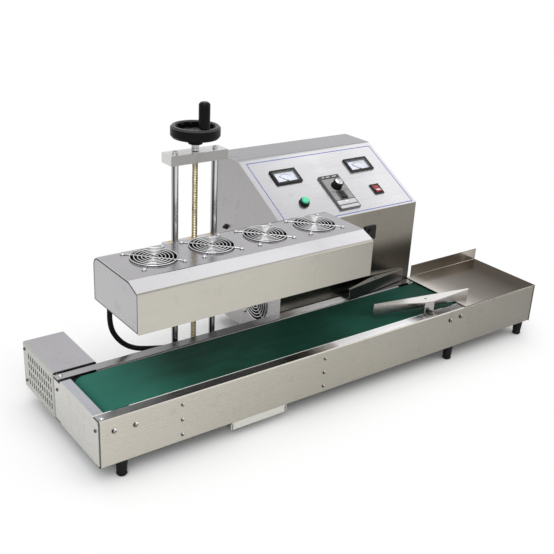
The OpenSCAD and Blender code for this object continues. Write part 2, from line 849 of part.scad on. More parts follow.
module fan_rotor() {
    low = -fan_depth + fan_plate + free_gap;
    high = -2.5;
    tip = fan_bore / 2 - rotor_gap;
    translate([0, 0, -fan_depth + 0.5]) cylinder(d = pin_d, h = fan_plate + 2);
    translate([0, 0, low]) cylinder(d = hub_d, h = high - low);
    intersection() {
        translate([0, 0, low + 1]) difference() {
            cylinder(r = tip, h = high - low - 2, $fn = 72);
            translate([0, 0, -1]) cylinder(d = hub_d - 3, h = fan_depth);
        }
        for (k = [0:blade_count - 1]) rotate(k * 360 / blade_count)
            translate([0, 0, (low + high) / 2]) rotate([50, 0, 0])
            translate([0, -0.8, -fan_depth]) cube([tip + 2, 1.6, 2 * fan_depth]);
    }
}

// Wire guard on a plate: legs from the corner eyes, rings laid on the legs
module fan_guard(plate) {
    ring_z = plate + 0.6 * wire_d;
    eye_r = fan_screws / sqrt(2);
    eye_mid = 3.2;
    for (a = [45:90:315]) rotate(a) {
        translate([eye_r, 0, plate]) wire_ring(eye_mid);
        translate([0, -wire_d / 2, plate]) cube([eye_r - eye_mid, wire_d, wire_d]);
    }
    for (r = guard_rings) translate([0, 0, ring_z]) wire_ring(r);
}

module wire_ring(r)
    rotate_extrude($fn = 64) translate([r, wire_d / 2]) rotate(22.5) circle(d = wire_d, $fn = 8);

module on_cabinet_side() {
    translate([cab_x + side_inset + sheet_t, cab_fan_y, cab_fan_z]) rotate([0, -90, 0]) children();
}

module at_head_fan(i) translate([fan_mid[0] + (i - 1.5) * fan_pitch, fan_mid[1], head_top - sheet_t]) children();

module cabinet_fan() color("#1a1a1a") placed() on_cabinet_side() fan_frame();

module cabinet_fan_rotor() color("#242424") placed() on_cabinet_side() fan_rotor();

module cabinet_fan_guard() color("#d4d4d4") placed() on_cabinet_side() fan_guard(sheet_t);

module fan_frames() color("#1a1a1a") placed() for (i = [0:3]) at_head_fan(i) fan_frame();

module fan_rotor_1() color("#242424") placed() at_head_fan(0) fan_rotor();

module fan_rotor_2() color("#242424") placed() at_head_fan(1) fan_rotor();

module fan_rotor_3() color("#242424") placed() at_head_fan(2) fan_rotor();

module fan_rotor_4() color("#242424") placed() at_head_fan(3) fan_rotor();

module fan_guards() color("#d4d4d4") placed() for (i = [0:3]) at_head_fan(i) fan_guard(sheet_t);

// Fittings on the cabinet

module fuse_holder() color("#141414") placed()
    translate([cab_x + side_inset, fuse_y, fuse_z]) rotate([0, -90, 0]) {
        translate([0, 0, -20]) cylinder(d = fuse_d - 2 * run_gap, h = 21);
        cylinder(d = fuse_d + 4, h = 2);
        translate([0, 0, 2]) cylinder(d1 = fuse_d + 2, d2 = fuse_d - 2, h = 6);
    }

module mains_inlet() color("#171717") placed() translate([inlet_x, cab_back, inlet_z]) difference() {
    union() {
        translate([-20, 0, -14]) cube([40, inlet_lip, 28]);
        translate([-14.7, -25, -10.7]) cube([29.4, 26, 21.4]);
    }
    translate([-11, -18, -8]) cube([22, 30, 16]);
}

module cabinet_gland() color("#1b1b1b") placed() translate([cab_x + side_inset, gland_y, gland_z])
    rotate([0, -90, 0]) difference() {
        union() {
            translate([0, 0, -8]) cylinder(d = 12 - 2 * run_gap, h = 9);
            cylinder(d = gland_d, h = 7, $fn = 6);
            translate([0, 0, 7]) cylinder(d1 = gland_d - 3, d2 = cable_d + 4, h = gland_l + side_inset - 7);
        }
        translate([0, 0, -9]) cylinder(d = cable_d - 3, h = gland_l);
    }

module sensor_socket() color("#1e1e1c") placed() translate([socket_x, cab_y, socket_z]) {
    translate([-14, -3, -14]) cube([28, 3, 28]);
    across_y([0, -6, 0]) cylinder(d = 17, h = 4);
    across_y([0, -1, 0]) cylinder(d = 19.5, h = 16);
}

module heat_sink() color("#a9acb0") placed() translate([cab_x + 60, cab_y + 50, rail_z + sheet_t]) {
    fins = 13;
    cube([190, 96, 8]);
    for (i = [0:fins - 1]) translate([0, i * 7.5, 0]) cube([190, 3, 45]);
}

module power_board() color("#2f6b3c") placed() translate([cab_x + 60, cab_y + 155, rail_z + sheet_t]) {
    for (x = [6, 184], y = [6, 64]) translate([x, y, 0]) cylinder(d = 6, h = 11);
    translate([0, 0, 10]) cube([190, 70, 1.6]);
    for (i = [0:3]) translate([30 + i * 30, 20, 11]) cylinder(d = 22, h = 34);
    translate([145, 15, 11]) cube([36, 40, 30]);
    translate([20, 42, 11]) cube([90, 16, 14]);
}

// Column

module column_base() color("#7d7a75") placed() translate([column_x, column_y, rail_z]) difference() {
    block(column_l, column_w, column_h);
    for (s = [-1, 1]) translate([s * rod_pitch / 2, 0, rod_seat]) cylinder(d = rod_d + 2 * run_gap, h = column_h);
    translate([0, 0, rod_seat]) cylinder(d = screw_d + 2 * run_gap, h = column_h);
}

module guide_rods() color("#d6d8da") placed() for (s = [-1, 1])
    translate([column_x + s * rod_pitch / 2, column_y, rail_z + rod_seat])
        cylinder(d = rod_d, h = bar_z - rail_z);

module column_bar() color("#aeb0b1") placed() translate([column_x, column_y, bar_z]) difference() {
    block(bar_l, bar_w, bar_t);
    for (s = [-1, 1])
        translate([s * rod_pitch / 2, 0, -1]) cylinder(d = rod_d + 2 * run_gap, h = rod_seat + 1 + run_gap);
    translate([0, 0, -1]) cylinder(d = screw_d + 2 * run_gap, h = bar_t + 2);
}

// The screw runs up through the bar to a collar that carries the handwheel's hub
module lead_screw() color("#b49a5e") placed() translate([column_x, column_y, 0]) {
    low = rail_z + rod_seat + run_gap;
    translate([0, 0, low]) cylinder(d = screw_d, h = wheel_z + hub_h - low);
    translate([0, 0, bar_z + bar_t + free_gap]) cylinder(d = neck_d, h = neck_h - free_gap);
}

// Handwheel: hub and web, a deep rim with finger lobes inside it, and the crank's pin
module handwheel() color("#161616") placed() translate([column_x, column_y, wheel_z]) {
    rim_r = wheel_d / 2;
    hub_r = 16;
    web_z = hub_h;
    round = 3;
    profile = [
        [screw_d / 2 + run_gap, 0], [hub_r - 4, 0], [hub_r, hub_h - 3], [rim_r - rim_w, web_z], [rim_r - round, web_z - 2],
        [rim_r, web_z + 2], [rim_r, web_z + wheel_h - round], [rim_r - round, web_z + wheel_h],
        [rim_r - rim_w + 2, web_z + wheel_h], [rim_r - rim_w, web_z + wheel_h - 2],
        [rim_r - rim_w, web_z + web_t], [hub_r - 3, web_z + web_t], [hub_r - 5, web_z + web_t + 3],
        [screw_d / 2 + run_gap, web_z + web_t + 3]
    ];
    rotate_extrude($fn = 96) polygon(profile);
    for (k = [0:lobes - 1]) rotate(crank_turn + (k + 0.5) * 360 / lobes)
        translate([rim_r - rim_w + 1, 0, web_z + web_t - 1]) cylinder(d = lobe_d, h = wheel_h - web_t - 3);
    rotate(crank_turn) translate([crank_r, 0, web_z + 1]) {
        cylinder(d = grip_pin_d + 3, h = wheel_h - 1.5);
        cylinder(d = grip_pin_d, h = wheel_h + grip_l - 11);
    }
}

module crank_grip() color("#121212") placed()
    translate([column_x, column_y, wheel_z + hub_h + wheel_h + free_gap])
    rotate(crank_turn) translate([crank_r, 0, 0])
    rotate_extrude() polygon([
        [grip_pin_d / 2 + run_gap, 0], [grip_d / 2 - 1, 0], [grip_d / 2, 1.5], [grip_d / 2, grip_l - 4],
        [grip_d / 2 - 1.5, grip_l - 1.5], [grip_d / 2 - 4, grip_l], [0, grip_l], [0, grip_l - 8],
        [grip_pin_d / 2 + run_gap, grip_l - 8]
    ]);

// Head

module carriage() color("#8d8f92") placed() difference() {
    translate([column_x - bar_l / 2, head_back, carriage_z])
        cube([bar_l, column_y + bar_w / 2 - head_back, carriage_h]);
    translate([column_x, column_y, carriage_z - 1]) {
        for (s = [-1, 1]) translate([s * rod_pitch / 2, 0, 0]) cylinder(d = bush_d, h = carriage_h + 2);
        cylinder(d = nut_d, h = carriage_h + 2);
    }
}

module carriage_bushes() color("#c0944a") placed() translate([column_x, column_y, carriage_z]) {
    for (s = [-1, 1]) translate([s * rod_pitch / 2, 0, 0]) bush(bush_d, rod_d);
    bush(nut_d, screw_d);
}

module bush(outer, inner) difference() {
    union() {
        cylinder(d = outer, h = carriage_h);
        translate([0, 0, carriage_h]) cylinder(d = outer + 4, h = 2);
    }
    translate([0, 0, -1]) cylinder(d = inner + 2 * run_gap, h = carriage_h + 4);
}

module head_cover() color("#cbc6b6") placed() difference() {
    translate([head_x, 0, 0]) along_x(head_l) folded(head_path, head_bends);
    for (i = [0:3]) at_head_fan(i) translate([0, 0, -sheet_t]) cylinder(d = fan_bore, h = 3 * sheet_t, $fn = 72);
    translate([outlet_x, head_back - 2 * sheet_t, head_z + 28]) across_y([0, 0, 0]) cylinder(d = 12, h = 3 * sheet_t);
}

module head_end_plates() color("#bfb9a8") placed()
    for (x = [head_x + end_inset, head_x + head_l - end_inset - sheet_t])
        translate([x, 0, 0]) along_x(sheet_t)
            polygon(inset_line(head_path, head_bends, half_t + free_gap));

module head_base() color("#e9e4d6") placed() {
    in = end_inset + sheet_t + free_gap;
    translate([head_x + in, head_y + sheet_t + free_gap, head_z])
        cube([head_l - 2 * in, head_w - 2 * sheet_t - 2 * free_gap, base_t]);
}

module stadium(l, w) {
    square([l - w, w], center = true);
    for (s = [-1, 1]) translate([s * (l - w) / 2, 0]) circle(d = w);
}

// Flat winding: racetrack turns one inside the other, joined by a crossover
module induction_coil() color("#b5713c") placed()
    translate([head_x + head_l / 2, head_y + head_w / 2, head_z + base_t]) {
        step = 2 * (coil_w + 1.5);
        outer = [head_l - 40, head_w - 30];
        for (k = [0:coil_turns - 1]) linear_extrude(coil_t) difference() {
            stadium(outer[0] - k * step, outer[1] - k * step);
            stadium(outer[0] - k * step - 2 * coil_w, outer[1] - k * step - 2 * coil_w);
        }
        for (k = [0:coil_turns - 2])
            translate([k * 12, outer[1] / 2 - (k + 1) * step / 2 - coil_w / 2, 0]) cube([10, step / 2 + coil_w, coil_t]);
    }

module ferrite_bars() color("#3a3a3c") placed()
    for (i = [0:ferrite_count - 1])
        translate([head_x + (i + 1) * head_l / (ferrite_count + 1), head_y + head_w / 2, head_z + base_t + coil_t])
            block(ferrite_w, head_w - 24, ferrite_t);

// Elbow housing on the head's rear wall, with a collar that points down
module head_outlet() color("#191919") placed() {
    box_h = 36;
    translate([outlet_x - 14, head_back, head_z + 8]) cube([28, 28, box_h]);
    translate([outlet_x, outlet_y, outlet_z]) cylinder(d1 = cable_d + 4, d2 = 20, h = 19);
    translate([outlet_x, head_back + 1, head_z + 28]) rotate([90, 0, 0]) cylinder(d = 12 - 2 * run_gap, h = 6);
}

// A smooth curve through the cable's route, as points with a spacing of about two diameters
function route_point(i) = cable_route[min(max(i, 0), len(cable_route) - 1)];
function curve(a, b, c, d, t) =
    0.5 * (2 * b + (c - a) * t + (2 * a - 5 * b + 4 * c - d) * t * t + (3 * b - a - 3 * c + d) * t * t * t);
cable_path = concat(
    [for (i = [0:len(cable_route) - 2], k = [0:cable_steps - 1])
        curve(route_point(i - 1), route_point(i), route_point(i + 1), route_point(i + 2), k / cable_steps)],
    [cable_route[len(cable_route) - 1]]);

// Ring of points round the curve at its i-th point
function heading(i) =
    i == 0 ? [0, 0, -1]
    : i == len(cable_path) - 1 ? [1, 0, 0]
    : unit(cable_path[i + 1] - cable_path[i - 1]);
function ring(i) =
    let (u = unit(cross(heading(i), [0, 1, 0])))
    let (v = cross(heading(i), u))
    [for (k = [0:cable_sides - 1])
        let (a = 360 * k / cable_sides)
        cable_path[i] + cable_d / 2 * (cos(a) * u + sin(a) * v)];

module head_cable() color("#101010") placed() {
    n = len(cable_path);
    m = cable_sides;
    sides = [for (i = [0:n - 2], k = [0:m - 1])
        [i * m + k, (i + 1) * m + k, (i + 1) * m + (k + 1) % m, i * m + (k + 1) % m]];
    first = [for (k = [0:m - 1]) k];
    last = [for (k = [m - 1:-1:0]) (n - 1) * m + k];
    polyhedron([for (i = [0:n - 1]) each ring(i)], concat([first], sides, [last]), convexity = 8);
}

front_rail();
rear_rail();
end_plate();
infeed_table();
belt_bed();
cross_ties();
conveyor_belt();
drive_roller();
idler_roller();
bearing_blocks();
base_channel();
feet();
motor_cover();
gear_motor();
front_guide();
rear_guide();
guide_clamp();
cabinet_cover();
cabinet_chassis();
meter_cases();
meter_windows();
left_needle();
right_needle();
speed_controller();
speed_knob();
run_rocker();
power_switch();
power_rocker();
button_collar();
start_button();
cabinet_fan();
cabinet_fan_rotor();
cabinet_fan_guard();
fuse_holder();
mains_inlet();
cabinet_gland();
heat_sink();
power_board();
sensor_socket();
column_base();
guide_rods();
column_bar();
lead_screw();
handwheel();
crank_grip();
carriage();
carriage_bushes();
head_cover();
head_end_plates();
head_base();
induction_coil();
ferrite_bars();
fan_frames();
fan_rotor_1();
fan_rotor_2();
fan_rotor_3();
fan_rotor_4();
fan_guards();
head_outlet();
head_cable();
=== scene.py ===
import math

import bmesh
import bpy
import numpy as np
from bpy.props import FloatProperty, FloatVectorProperty, IntProperty, PointerProperty
from mathutils import Matrix, Vector


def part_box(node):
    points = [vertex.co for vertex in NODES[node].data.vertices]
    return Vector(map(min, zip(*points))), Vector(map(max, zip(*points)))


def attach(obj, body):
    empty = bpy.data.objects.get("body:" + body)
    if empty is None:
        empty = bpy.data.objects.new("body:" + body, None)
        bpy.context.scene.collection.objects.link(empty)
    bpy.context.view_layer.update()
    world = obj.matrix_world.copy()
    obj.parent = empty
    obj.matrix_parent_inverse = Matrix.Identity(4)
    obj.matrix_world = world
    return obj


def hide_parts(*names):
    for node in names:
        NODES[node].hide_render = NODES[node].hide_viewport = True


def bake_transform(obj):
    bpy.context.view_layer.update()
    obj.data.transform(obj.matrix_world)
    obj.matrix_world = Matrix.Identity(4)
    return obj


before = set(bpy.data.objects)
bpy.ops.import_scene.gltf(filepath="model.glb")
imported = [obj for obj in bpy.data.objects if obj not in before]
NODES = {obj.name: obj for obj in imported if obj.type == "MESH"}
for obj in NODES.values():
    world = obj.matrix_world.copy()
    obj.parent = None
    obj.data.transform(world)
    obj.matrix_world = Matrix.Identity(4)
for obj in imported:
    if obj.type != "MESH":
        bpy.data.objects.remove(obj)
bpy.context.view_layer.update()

bl_info = {
    "name": "Induction cap sealer",
    "version": (1, 0, 0),
    "blender": (4, 5, 0),
    "location": "View3D > Sidebar > Sealer",
    "description": "Finishes, small pieces and studio of a bench-top induction cap sealer",
    "category": "Object",
}

MM = 0.001
# The drive end of the front rail's face on the floor: machine lengths in millimetres count from here.
DRIVE_END = np.array([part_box("front_rail")[0].x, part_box("front_rail")[0].y, 0.0])
LENGTH = 1005.0
RAIL_TOP = 115.0
# The cabinet's left side, the lower edge of its sloped panel in y and z, and half the sheet's thickness.
CABINET_X = 455.0
PANEL_EDGE = (168.75, 284.0)
HALF_SHEET = 0.75
PANEL_TILT = math.radians(29.301)
# Places on the panel, across and up the slope: the speed knob, the meters' row and the red rocker.
KNOB = (171.5, 72.5)
METER_OFF, METER_UP = 93.0, 121.0
ROCKER = (264.5, 50.0)
ROCKER_LEAN = (0, 1, -0.158)
CONTROLLER_FACE = 4.0
STRIP_UP = 99.3
# Heights over the panel of the meters' dials and scales, and of the knob's top.
DIAL_LIFT, SCALE_LIFT = -0.55, -0.3
KNOB_TOP = 19.9
# The head's lower edge and top, the lead screw in x and y, and the column's top bar.
HEAD_LOW, HEAD_TOP = 232.4, 310.0
SCREW_AXIS = (281.5, 198.0)
BAR_TOP = 445.0
# The fans' middles on the head and the cabinet, a guard's eyes from them along x and y, and an eye's radius.
FAN_X = (151.25, 258.75, 366.25, 473.75)
FAN_Y = 106.0
CABINET_FAN = (457.0, 251.0, 105.0)
FAN_EYE = 35.75
EYE_RADIUS = 3.2 * MM
# Points closer than this in metres are merged, and edges sharper than this angle are shown as edges.
MERGE = 1e-7
SHARP = math.radians(38)


# Places

def spot(x, y, z):
    """A point in metres, given in millimetres from the drive end, the front face and the floor."""
    return DRIVE_END + np.array([x, y, z]) * MM


def placed(origin, x_axis, y_axis):
    """A 4 by 4 placing whose columns are two given axes, their cross product and the origin."""
    x = np.array(x_axis, float) / np.linalg.norm(x_axis)
    y = np.array(y_axis, float) / np.linalg.norm(y_axis)
    place = np.eye(4)
    place[:3, 0], place[:3, 1], place[:3, 2], place[:3, 3] = x, y, np.cross(x, y), origin
    return place


def on_panel(x, s, lift=0.0):
    """A placing on the sloped panel: x from the cabinet's side, s up the slope, z out of the panel."""
    c, n = math.cos(PANEL_TILT), math.sin(PANEL_TILT)
    z = HALF_SHEET + lift
    place = spot(CABINET_X + x, PANEL_EDGE[0] + s * c - z * n, PANEL_EDGE[1] + s * n + z * c)
    return placed(place, (1, 0, 0), (0, c, n))


def facing_front(x, y, z):
    return placed(spot(x, y, z), (1, 0, 0), (0, 0, 1))


def facing_left(x, y, z):
    return placed(spot(x, y, z), (0, -1, 0), (0, 0, 1))


def facing_back(x, y, z):
    return placed(spot(x, y, z), (-1, 0, 0), (0, 0, 1))


def facing_up(x, y, z):
    return placed(spot(x, y, z), (1, 0, 0), (0, 1, 0))


# Surfaces

def moved(shape, place):
    """A shape's points carried by a 4 by 4 placing."""
    points, faces = shape
    return points @ place[:3, :3].T + place[:3, 3], faces


def joined(shapes):
    """Several shapes as one: points stacked, and face numbers shifted by the points before them."""
    points, faces, start = [], [], 0
    for p, f in shapes:
        points.append(p)
        faces += [[i + start for i in face] for face in f]
        start += len(p)
    return np.concatenate(points), faces


def surface(points, wrap_u=False, wrap_v=False, cap_first=False, cap_last=False):
    """Quads over a grid of points p(u, v). A wrapped parameter joins its last row to its first, and a cap
    closes the first or last row of u with one face."""
    nu, nv = points.shape[:2]
    i = np.arange(nu if wrap_u else nu - 1)[:, None]
    j = np.arange(nv if wrap_v else nv - 1)[None, :]
    after_i, after_j = (i + 1) % nu, (j + 1) % nv
    quads = np.stack([i * nv + j, after_i * nv + j, after_i * nv + after_j, i * nv + after_j], -1)
    faces = quads.reshape(-1, 4).tolist()
    if cap_first:
        faces.append(list(range(nv - 1, -1, -1)))
    if cap_last:
        faces.append([(nu - 1) * nv + k for k in range(nv)])
    return points.reshape(-1, 3), faces


def turned(profile, sides):
    """A profile of (radius, height) in millimetres turned about z: (r cos a, r sin a, h)."""
    r, h = (np.asarray(profile, float) * MM).T
    a = np.linspace(0, 2 * np.pi, sides, endpoint=False)[None, :]
    points = np.stack([r[:, None] * np.cos(a), r[:, None] * np.sin(a), h[:, None] + 0 * a], -1)
    return surface(points, wrap_v=True)


def drawn(path, radius, sides=10, closed=False, side=(0, 0, 1)):
    """A round bar along a path: at each point a circle in the plane of u = heading x side and of
    v = heading x u."""
    path = np.asarray(path, float)
    if closed:
        heading = np.roll(path, -1, 0) - np.roll(path, 1, 0)
    else:
        heading = np.gradient(path, axis=0)
    heading /= np.linalg.norm(heading, axis=1)[:, None]
    u = np.cross(heading, np.asarray(side, float))
    u /= np.linalg.norm(u, axis=1)[:, None]
    v = np.cross(heading, u)
    a = np.linspace(0, 2 * np.pi, sides, endpoint=False)
    ring = np.cos(a)[None, :, None] * u[:, None, :] + np.sin(a)[None, :, None] * v[:, None, :]
    points = path[:, None, :] + radius * ring
    return surface(points, wrap_u=closed, wrap_v=True, cap_first=not closed, cap_last=not closed)


def rounded_outline(w, h, radius, inset, steps):
    """Points round a rectangle with quarter-circle corners, its sides moved in by each of the insets."""
    corner = np.repeat(np.arange(4), steps)
    a = corner * np.pi / 2 + np.tile(np.linspace(0, np.pi / 2, steps), 4)
    middle_x = np.where((corner == 0) | (corner == 3), 1, -1) * (w / 2 - radius)
    middle_y = np.where(corner < 2, 1, -1) * (h / 2 - radius)
    reach = radius - np.asarray(inset, float)[:, None]
    return middle_x + reach * np.cos(a), middle_y + reach * np.sin(a)


def pad(w, h, radius, profile):
    """A plate with a rounded rectangle as outline. The profile lists (inset, height) from its foot to its
    top, so the outline's sides follow that profile, and both ends are closed."""
    inset, height = np.asarray(profile, float).T
    x, y = rounded_outline(w, h, radius, inset, 5)
    points = np.stack([x, y, height[:, None] + 0 * x], -1) * MM
    return surface(points, wrap_v=True, cap_first=True, cap_last=True)


def plate(w, h, t, radius, edge):
    """A flat plate of thickness t with its upper edge rounded off."""
    return pad(w, h, radius, [(0, 0), (0, t - edge), (edge * 0.3, t - edge * 0.3), (edge, t)])


def border(w, h, radius, line, t):
    """A raised line round a rectangle: a low box section carried round the outline, closed on itself."""
    inset = [0, 0, line, line]
    height = np.array([-0.05, t, t, -0.05])
    x, y = rounded_outline(w, h, radius, inset, 6)
    points = np.stack([x, y, height[:, None] + 0 * x], -1) * MM
    return surface(points, wrap_u=True, wrap_v=True)


def cross_screw(d, h):
    """A pan-head screw over a polar grid: height h (1 - (r / R)^3), sunk where the point lies within either
    arm of a cross, and a short skirt below the rim."""
    radius = d / 2
    r = radius * np.concatenate([[1, 1], np.linspace(0.97, 0, 12)])[:, None]
    a = np.linspace(0, 2 * np.pi, 32, endpoint=False)[None, :]
    x, y = r * np.cos(a), r * np.sin(a)
    height = 0.25 * h + 0.75 * h * (1 - (r / radius) ** 3) + 0 * a
    arm, reach = np.minimum(abs(x), abs(y)), np.maximum(abs(x), abs(y))
    height = height - 0.5 * h * ((arm < 0.1 * d) & (reach < 0.34 * d))
    height[0] = -0.1
    return surface(np.stack([x, y, height], -1) * MM, wrap_v=True, cap_first=True)


def socket_screw(d, h):
    """A cap screw with a six-sided socket, over a polar grid: the rim's profile turned about z, and inside it
    a floor near half height, out to the hexagon's radius 0.3 d / cos(a mod 60 - 30)."""
    a = np.linspace(0, 2 * np.pi, 48, endpoint=False)[None, :]
    hexagon = 0.3 * d / np.cos(a % (np.pi / 3) - np.pi / 6)
    rim = d / 2
    rows = [(rim, -0.1), (rim, 0.85 * h), (0.94 * rim, h), (0.8 * rim, h)]
    r = np.concatenate([np.array([[k] for k, _ in rows]) + 0 * a, hexagon, hexagon, 0 * hexagon])
    z = np.array([[v] for _, v in rows] + [[h], [0.45 * h], [0.42 * h]]) + 0 * a
    return surface(np.stack([r * np.cos(a), r * np.sin(a), z], -1) * MM, wrap_v=True, cap_first=True)


def threaded(radius, depth, lead, z_from, z_to):
    """A screw thread: r(a, z) = radius - depth w, where w is a triangle wave of z / lead - a / turn, widened
    and cut off at 0 and 1 to give flat crests and roots."""
    sides, per_turn = 20, 8
    rows = int((z_to - z_from) / lead * per_turn)
    z = np.linspace(z_from, z_to, rows)[:, None]
    a = np.linspace(0, 2 * np.pi, sides, endpoint=False)[None, :]
    wave = abs(2 * ((z / lead - a / (2 * np.pi)) % 1) - 1)
    r = radius - depth * np.clip(1.5 * (1 - wave) - 0.25, 0, 1)
    points = np.stack([r * np.cos(a), r * np.sin(a), z + 0 * a], -1) * MM
    return surface(points, wrap_v=True, cap_first=True, cap_last=True)


def inset(outline, offset):
    """An open outline moved inwards: each point goes along the mitre m = (n1 + n2) / (1 + n1.n2) of the
    normals of its two sides."""
    p = np.asarray(outline, float)
    side = np.diff(p, axis=0)
    normal = np.stack([side[:, 1], -side[:, 0]], -1) / np.linalg.norm(side, axis=1)[:, None]
    before = np.concatenate([normal[:1], normal])
    after = np.concatenate([normal, normal[-1:]])
    return p + offset * (before + after) / (1 + (before * after).sum(1))[:, None]


def smooth_path(points, steps):
    """A curve through the points: each span is the cubic of its four neighbours (Catmull-Rom)."""
    p = np.asarray(points, float)
    before = np.concatenate([p[:1], p[:-2]])
    after = np.concatenate([p[2:], p[-1:]])
    a, b, c, d = before[:, None], p[:-1, None], p[1:, None], after[:, None]
    t = (np.arange(steps) / steps)[None, :, None]
    square, cube = 2 * a - 5 * b + 4 * c - d, 3 * b - a - 3 * c + d
    curve = 0.5 * (2 * b + (c - a) * t + square * t**2 + cube * t**3)
    return np.concatenate([curve.reshape(-1, 3), p[-1:]])


def make_mesh(name, shape, material, outwards=True):
    """A mesh of a shape, with doubled points merged and, unless it is a flat sheet, its faces outwards."""
    points, faces = shape
    mesh = bpy.data.meshes.new(name)
    mesh.from_pydata(points.tolist(), [], faces)
    work = bmesh.new()
    work.from_mesh(mesh)
    bmesh.ops.remove_doubles(work, verts=work.verts, dist=MERGE)
    bmesh.ops.dissolve_degenerate(work, edges=work.edges, dist=MERGE / 10)
    if outwards:
        bmesh.ops.recalc_face_normals(work, faces=work.faces)
    work.to_mesh(mesh)
    work.free()
    mesh.materials.append(material)
    return mesh


def link(name, data):
    """A new object in the scene, at the origin."""
    made = bpy.data.objects.new(name, data)
    bpy.context.scene.collection.objects.link(made)
    return made


def make_piece(name, shapes, finish, body, stands_for=()):
    """One object at the origin from one or more shapes, with a finish given by name, riding on a body."""
    shape = joined(shapes) if isinstance(shapes, list) else shapes
    mesh = make_mesh(name, shape, bpy.data.materials[finish])
    mesh.polygons.foreach_set("use_smooth", np.ones(len(mesh.polygons), bool))
    mesh.set_sharp_from_angle(angle=SHARP)
    piece = link(name, mesh)
    if stands_for:
        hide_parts(*stands_for)
    if body:
        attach(piece, body)
    return piece


# Finishes

class Wire:
    """A shader socket that joins in Python arithmetic: each operator adds one Math node."""

    def __init__(self, finish, socket):
        self.finish, self.socket = finish, socket

    def maths(self, operation, *others):
        values = dict(enumerate((self, *others)))
        return self.finish.node("ShaderNodeMath", {"operation": operation}, values)

    def __add__(self, other):
        return self.maths("ADD", other)

    def __sub__(self, other):
        return self.maths("SUBTRACT", other)

    def __mul__(self, other):
        return self.maths("MULTIPLY", other)

    def __pow__(self, other):
        return self.maths("POWER", other)

    def __rsub__(self, other):
        return self.finish.node("ShaderNodeMath", {"operation": "SUBTRACT"}, {0: other, 1: self})

    __radd__ = __add__
    __rmul__ = __mul__

    def away(self):
        return self.maths("ABSOLUTE")

    def wave(self):
        return self.maths("SINE")

    def limit(self):
        return self.finish.node("ShaderNodeClamp", {}, {"Value": self})

    def between(self, low, high):
        """0 below low, 1 above high and a smooth rise between them."""
        return self.finish.node(
            "ShaderNodeMapRange", {"interpolation_type": "SMOOTHSTEP"},
            {"Value": self, "From Min": low, "From Max": high})


class Finish:
    """One material's nodes. node() adds any node: its type, its settings, then its sockets' values or
    links."""

    def __init__(self, name):
        self.material = bpy.data.materials.new(name)
        self.material.use_nodes = True
        self.tree = self.material.node_tree
        self.tree.nodes.clear()

    def node(self, kind, settings, sockets, out=0):
        made = self.tree.nodes.new(kind)
        for key, value in settings.items():
            if key == "stops":
                ramp = made.color_ramp
                for k, (position, colour) in enumerate(value):
                    stop = ramp.elements[k] if k < 2 else ramp.elements.new(position)
                    stop.position, stop.color = position, (*colour, 1)
            else:
                setattr(made, key, value)
        for key, value in sockets.items():
            if isinstance(value, Wire):
                self.tree.links.new(value.socket, made.inputs[key])
            else:
                made.inputs[key].default_value = value
        return Wire(self, made.outputs[out]) if made.outputs else None

    def parts(self, coordinate):
        """The three parts of one of the object's own coordinates."""
        vector = self.node("ShaderNodeTexCoord", {}, {}, coordinate)
        parts = self.node("ShaderNodeSeparateXYZ", {}, {"Vector": vector}).socket.node.outputs
        return tuple(Wire(self, parts[k]) for k in range(3))

    def axes(self):
        """Where the point is, in the object's own frame."""
        return self.parts("Object")

    def facing(self):
        """Which way the surface looks, in the object's own frame."""
        return self.parts("Normal")

    def noise(self, scale, detail, rough, stretch=(1, 1, 1)):
        at = self.node("ShaderNodeTexCoord", {}, {}, "Object")
        vector = self.node("ShaderNodeMapping", {}, {"Vector": at, "Scale": stretch})
        sockets = {"Vector": vector, "Scale": scale, "Detail": detail, "Roughness": rough}
        return self.node("ShaderNodeTexNoise", {}, sockets)

    def mix(self, share, first, second, blend="MIX"):
        sockets = {0: share}
        for key, value in ((6, first), (7, second)):
            sockets[key] = value if isinstance(value, Wire) else (*value, 1)
        return self.node("ShaderNodeMix", {"data_type": "RGBA", "blend_type": blend}, sockets, 2)

    def multiply(self, first, second, share=1.0):
        """Colour times colour, or colour times a grey."""
        return self.mix(share, first, second, "MULTIPLY")

    def along_machine(self, x, stops):
        """A grey that runs along the machine, given at places in millimetres from the drive end."""
        share = (x - float(DRIVE_END[0])) * (1 / (LENGTH * MM))
        stops = [(place / LENGTH, (grey, grey, grey)) for place, grey in stops]
        return self.node("ShaderNodeValToRGB", {"stops": stops}, {"Fac": share})

    def near_plane(self, at, direction, distance, half):
        """1 within a half width of a plane, all in millimetres of the machine, with a soft rim."""
        parts = [(at[k] - float(DRIVE_END[k])) * (direction[k] / MM) for k in range(3)]
        off = parts[0] + parts[1] + parts[2] - distance
        return 1 - off.away().between(half, 1.8 * half)

    def bump(self, height, strength, distance):
        sockets = {"Height": height, "Strength": strength, "Distance": distance}
        return self.node("ShaderNodeBump", {}, sockets)

    def shade(self, **sockets):
        """The Principled shader with the given sockets, an underscore standing for a blank, as output."""
        named = {key.replace("_", " "): value for key, value in sockets.items()}
        for key in ("Base Color", "Specular Tint"):
            if key in named and not isinstance(named[key], Wire):
                named[key] = (*named[key], 1)
        return self.put(self.node("ShaderNodeBsdfPrincipled", {}, named))

    def put(self, shader):
        self.node("ShaderNodeOutputMaterial", {}, {"Surface": shader})
        return self.material


# Brushed sheet: painted shade in a seam, the painted shine of a bent edge, a handling smudge, the greys
# between which a painted run turns bright, and how much of its metal a bright top, another bright face and a
# glint lose.
SEAM_SHADE = (0.16, 0.16, 0.16)
GLINT = (0.9, 0.9, 0.88)
SMUDGE = (0.8, 0.8, 0.8)
BRIGHT_RUN = (0.7, 1.0)
TOP_LOSS, SIDE_LOSS, GLINT_LOSS = 0.85, 0.6, 0.7


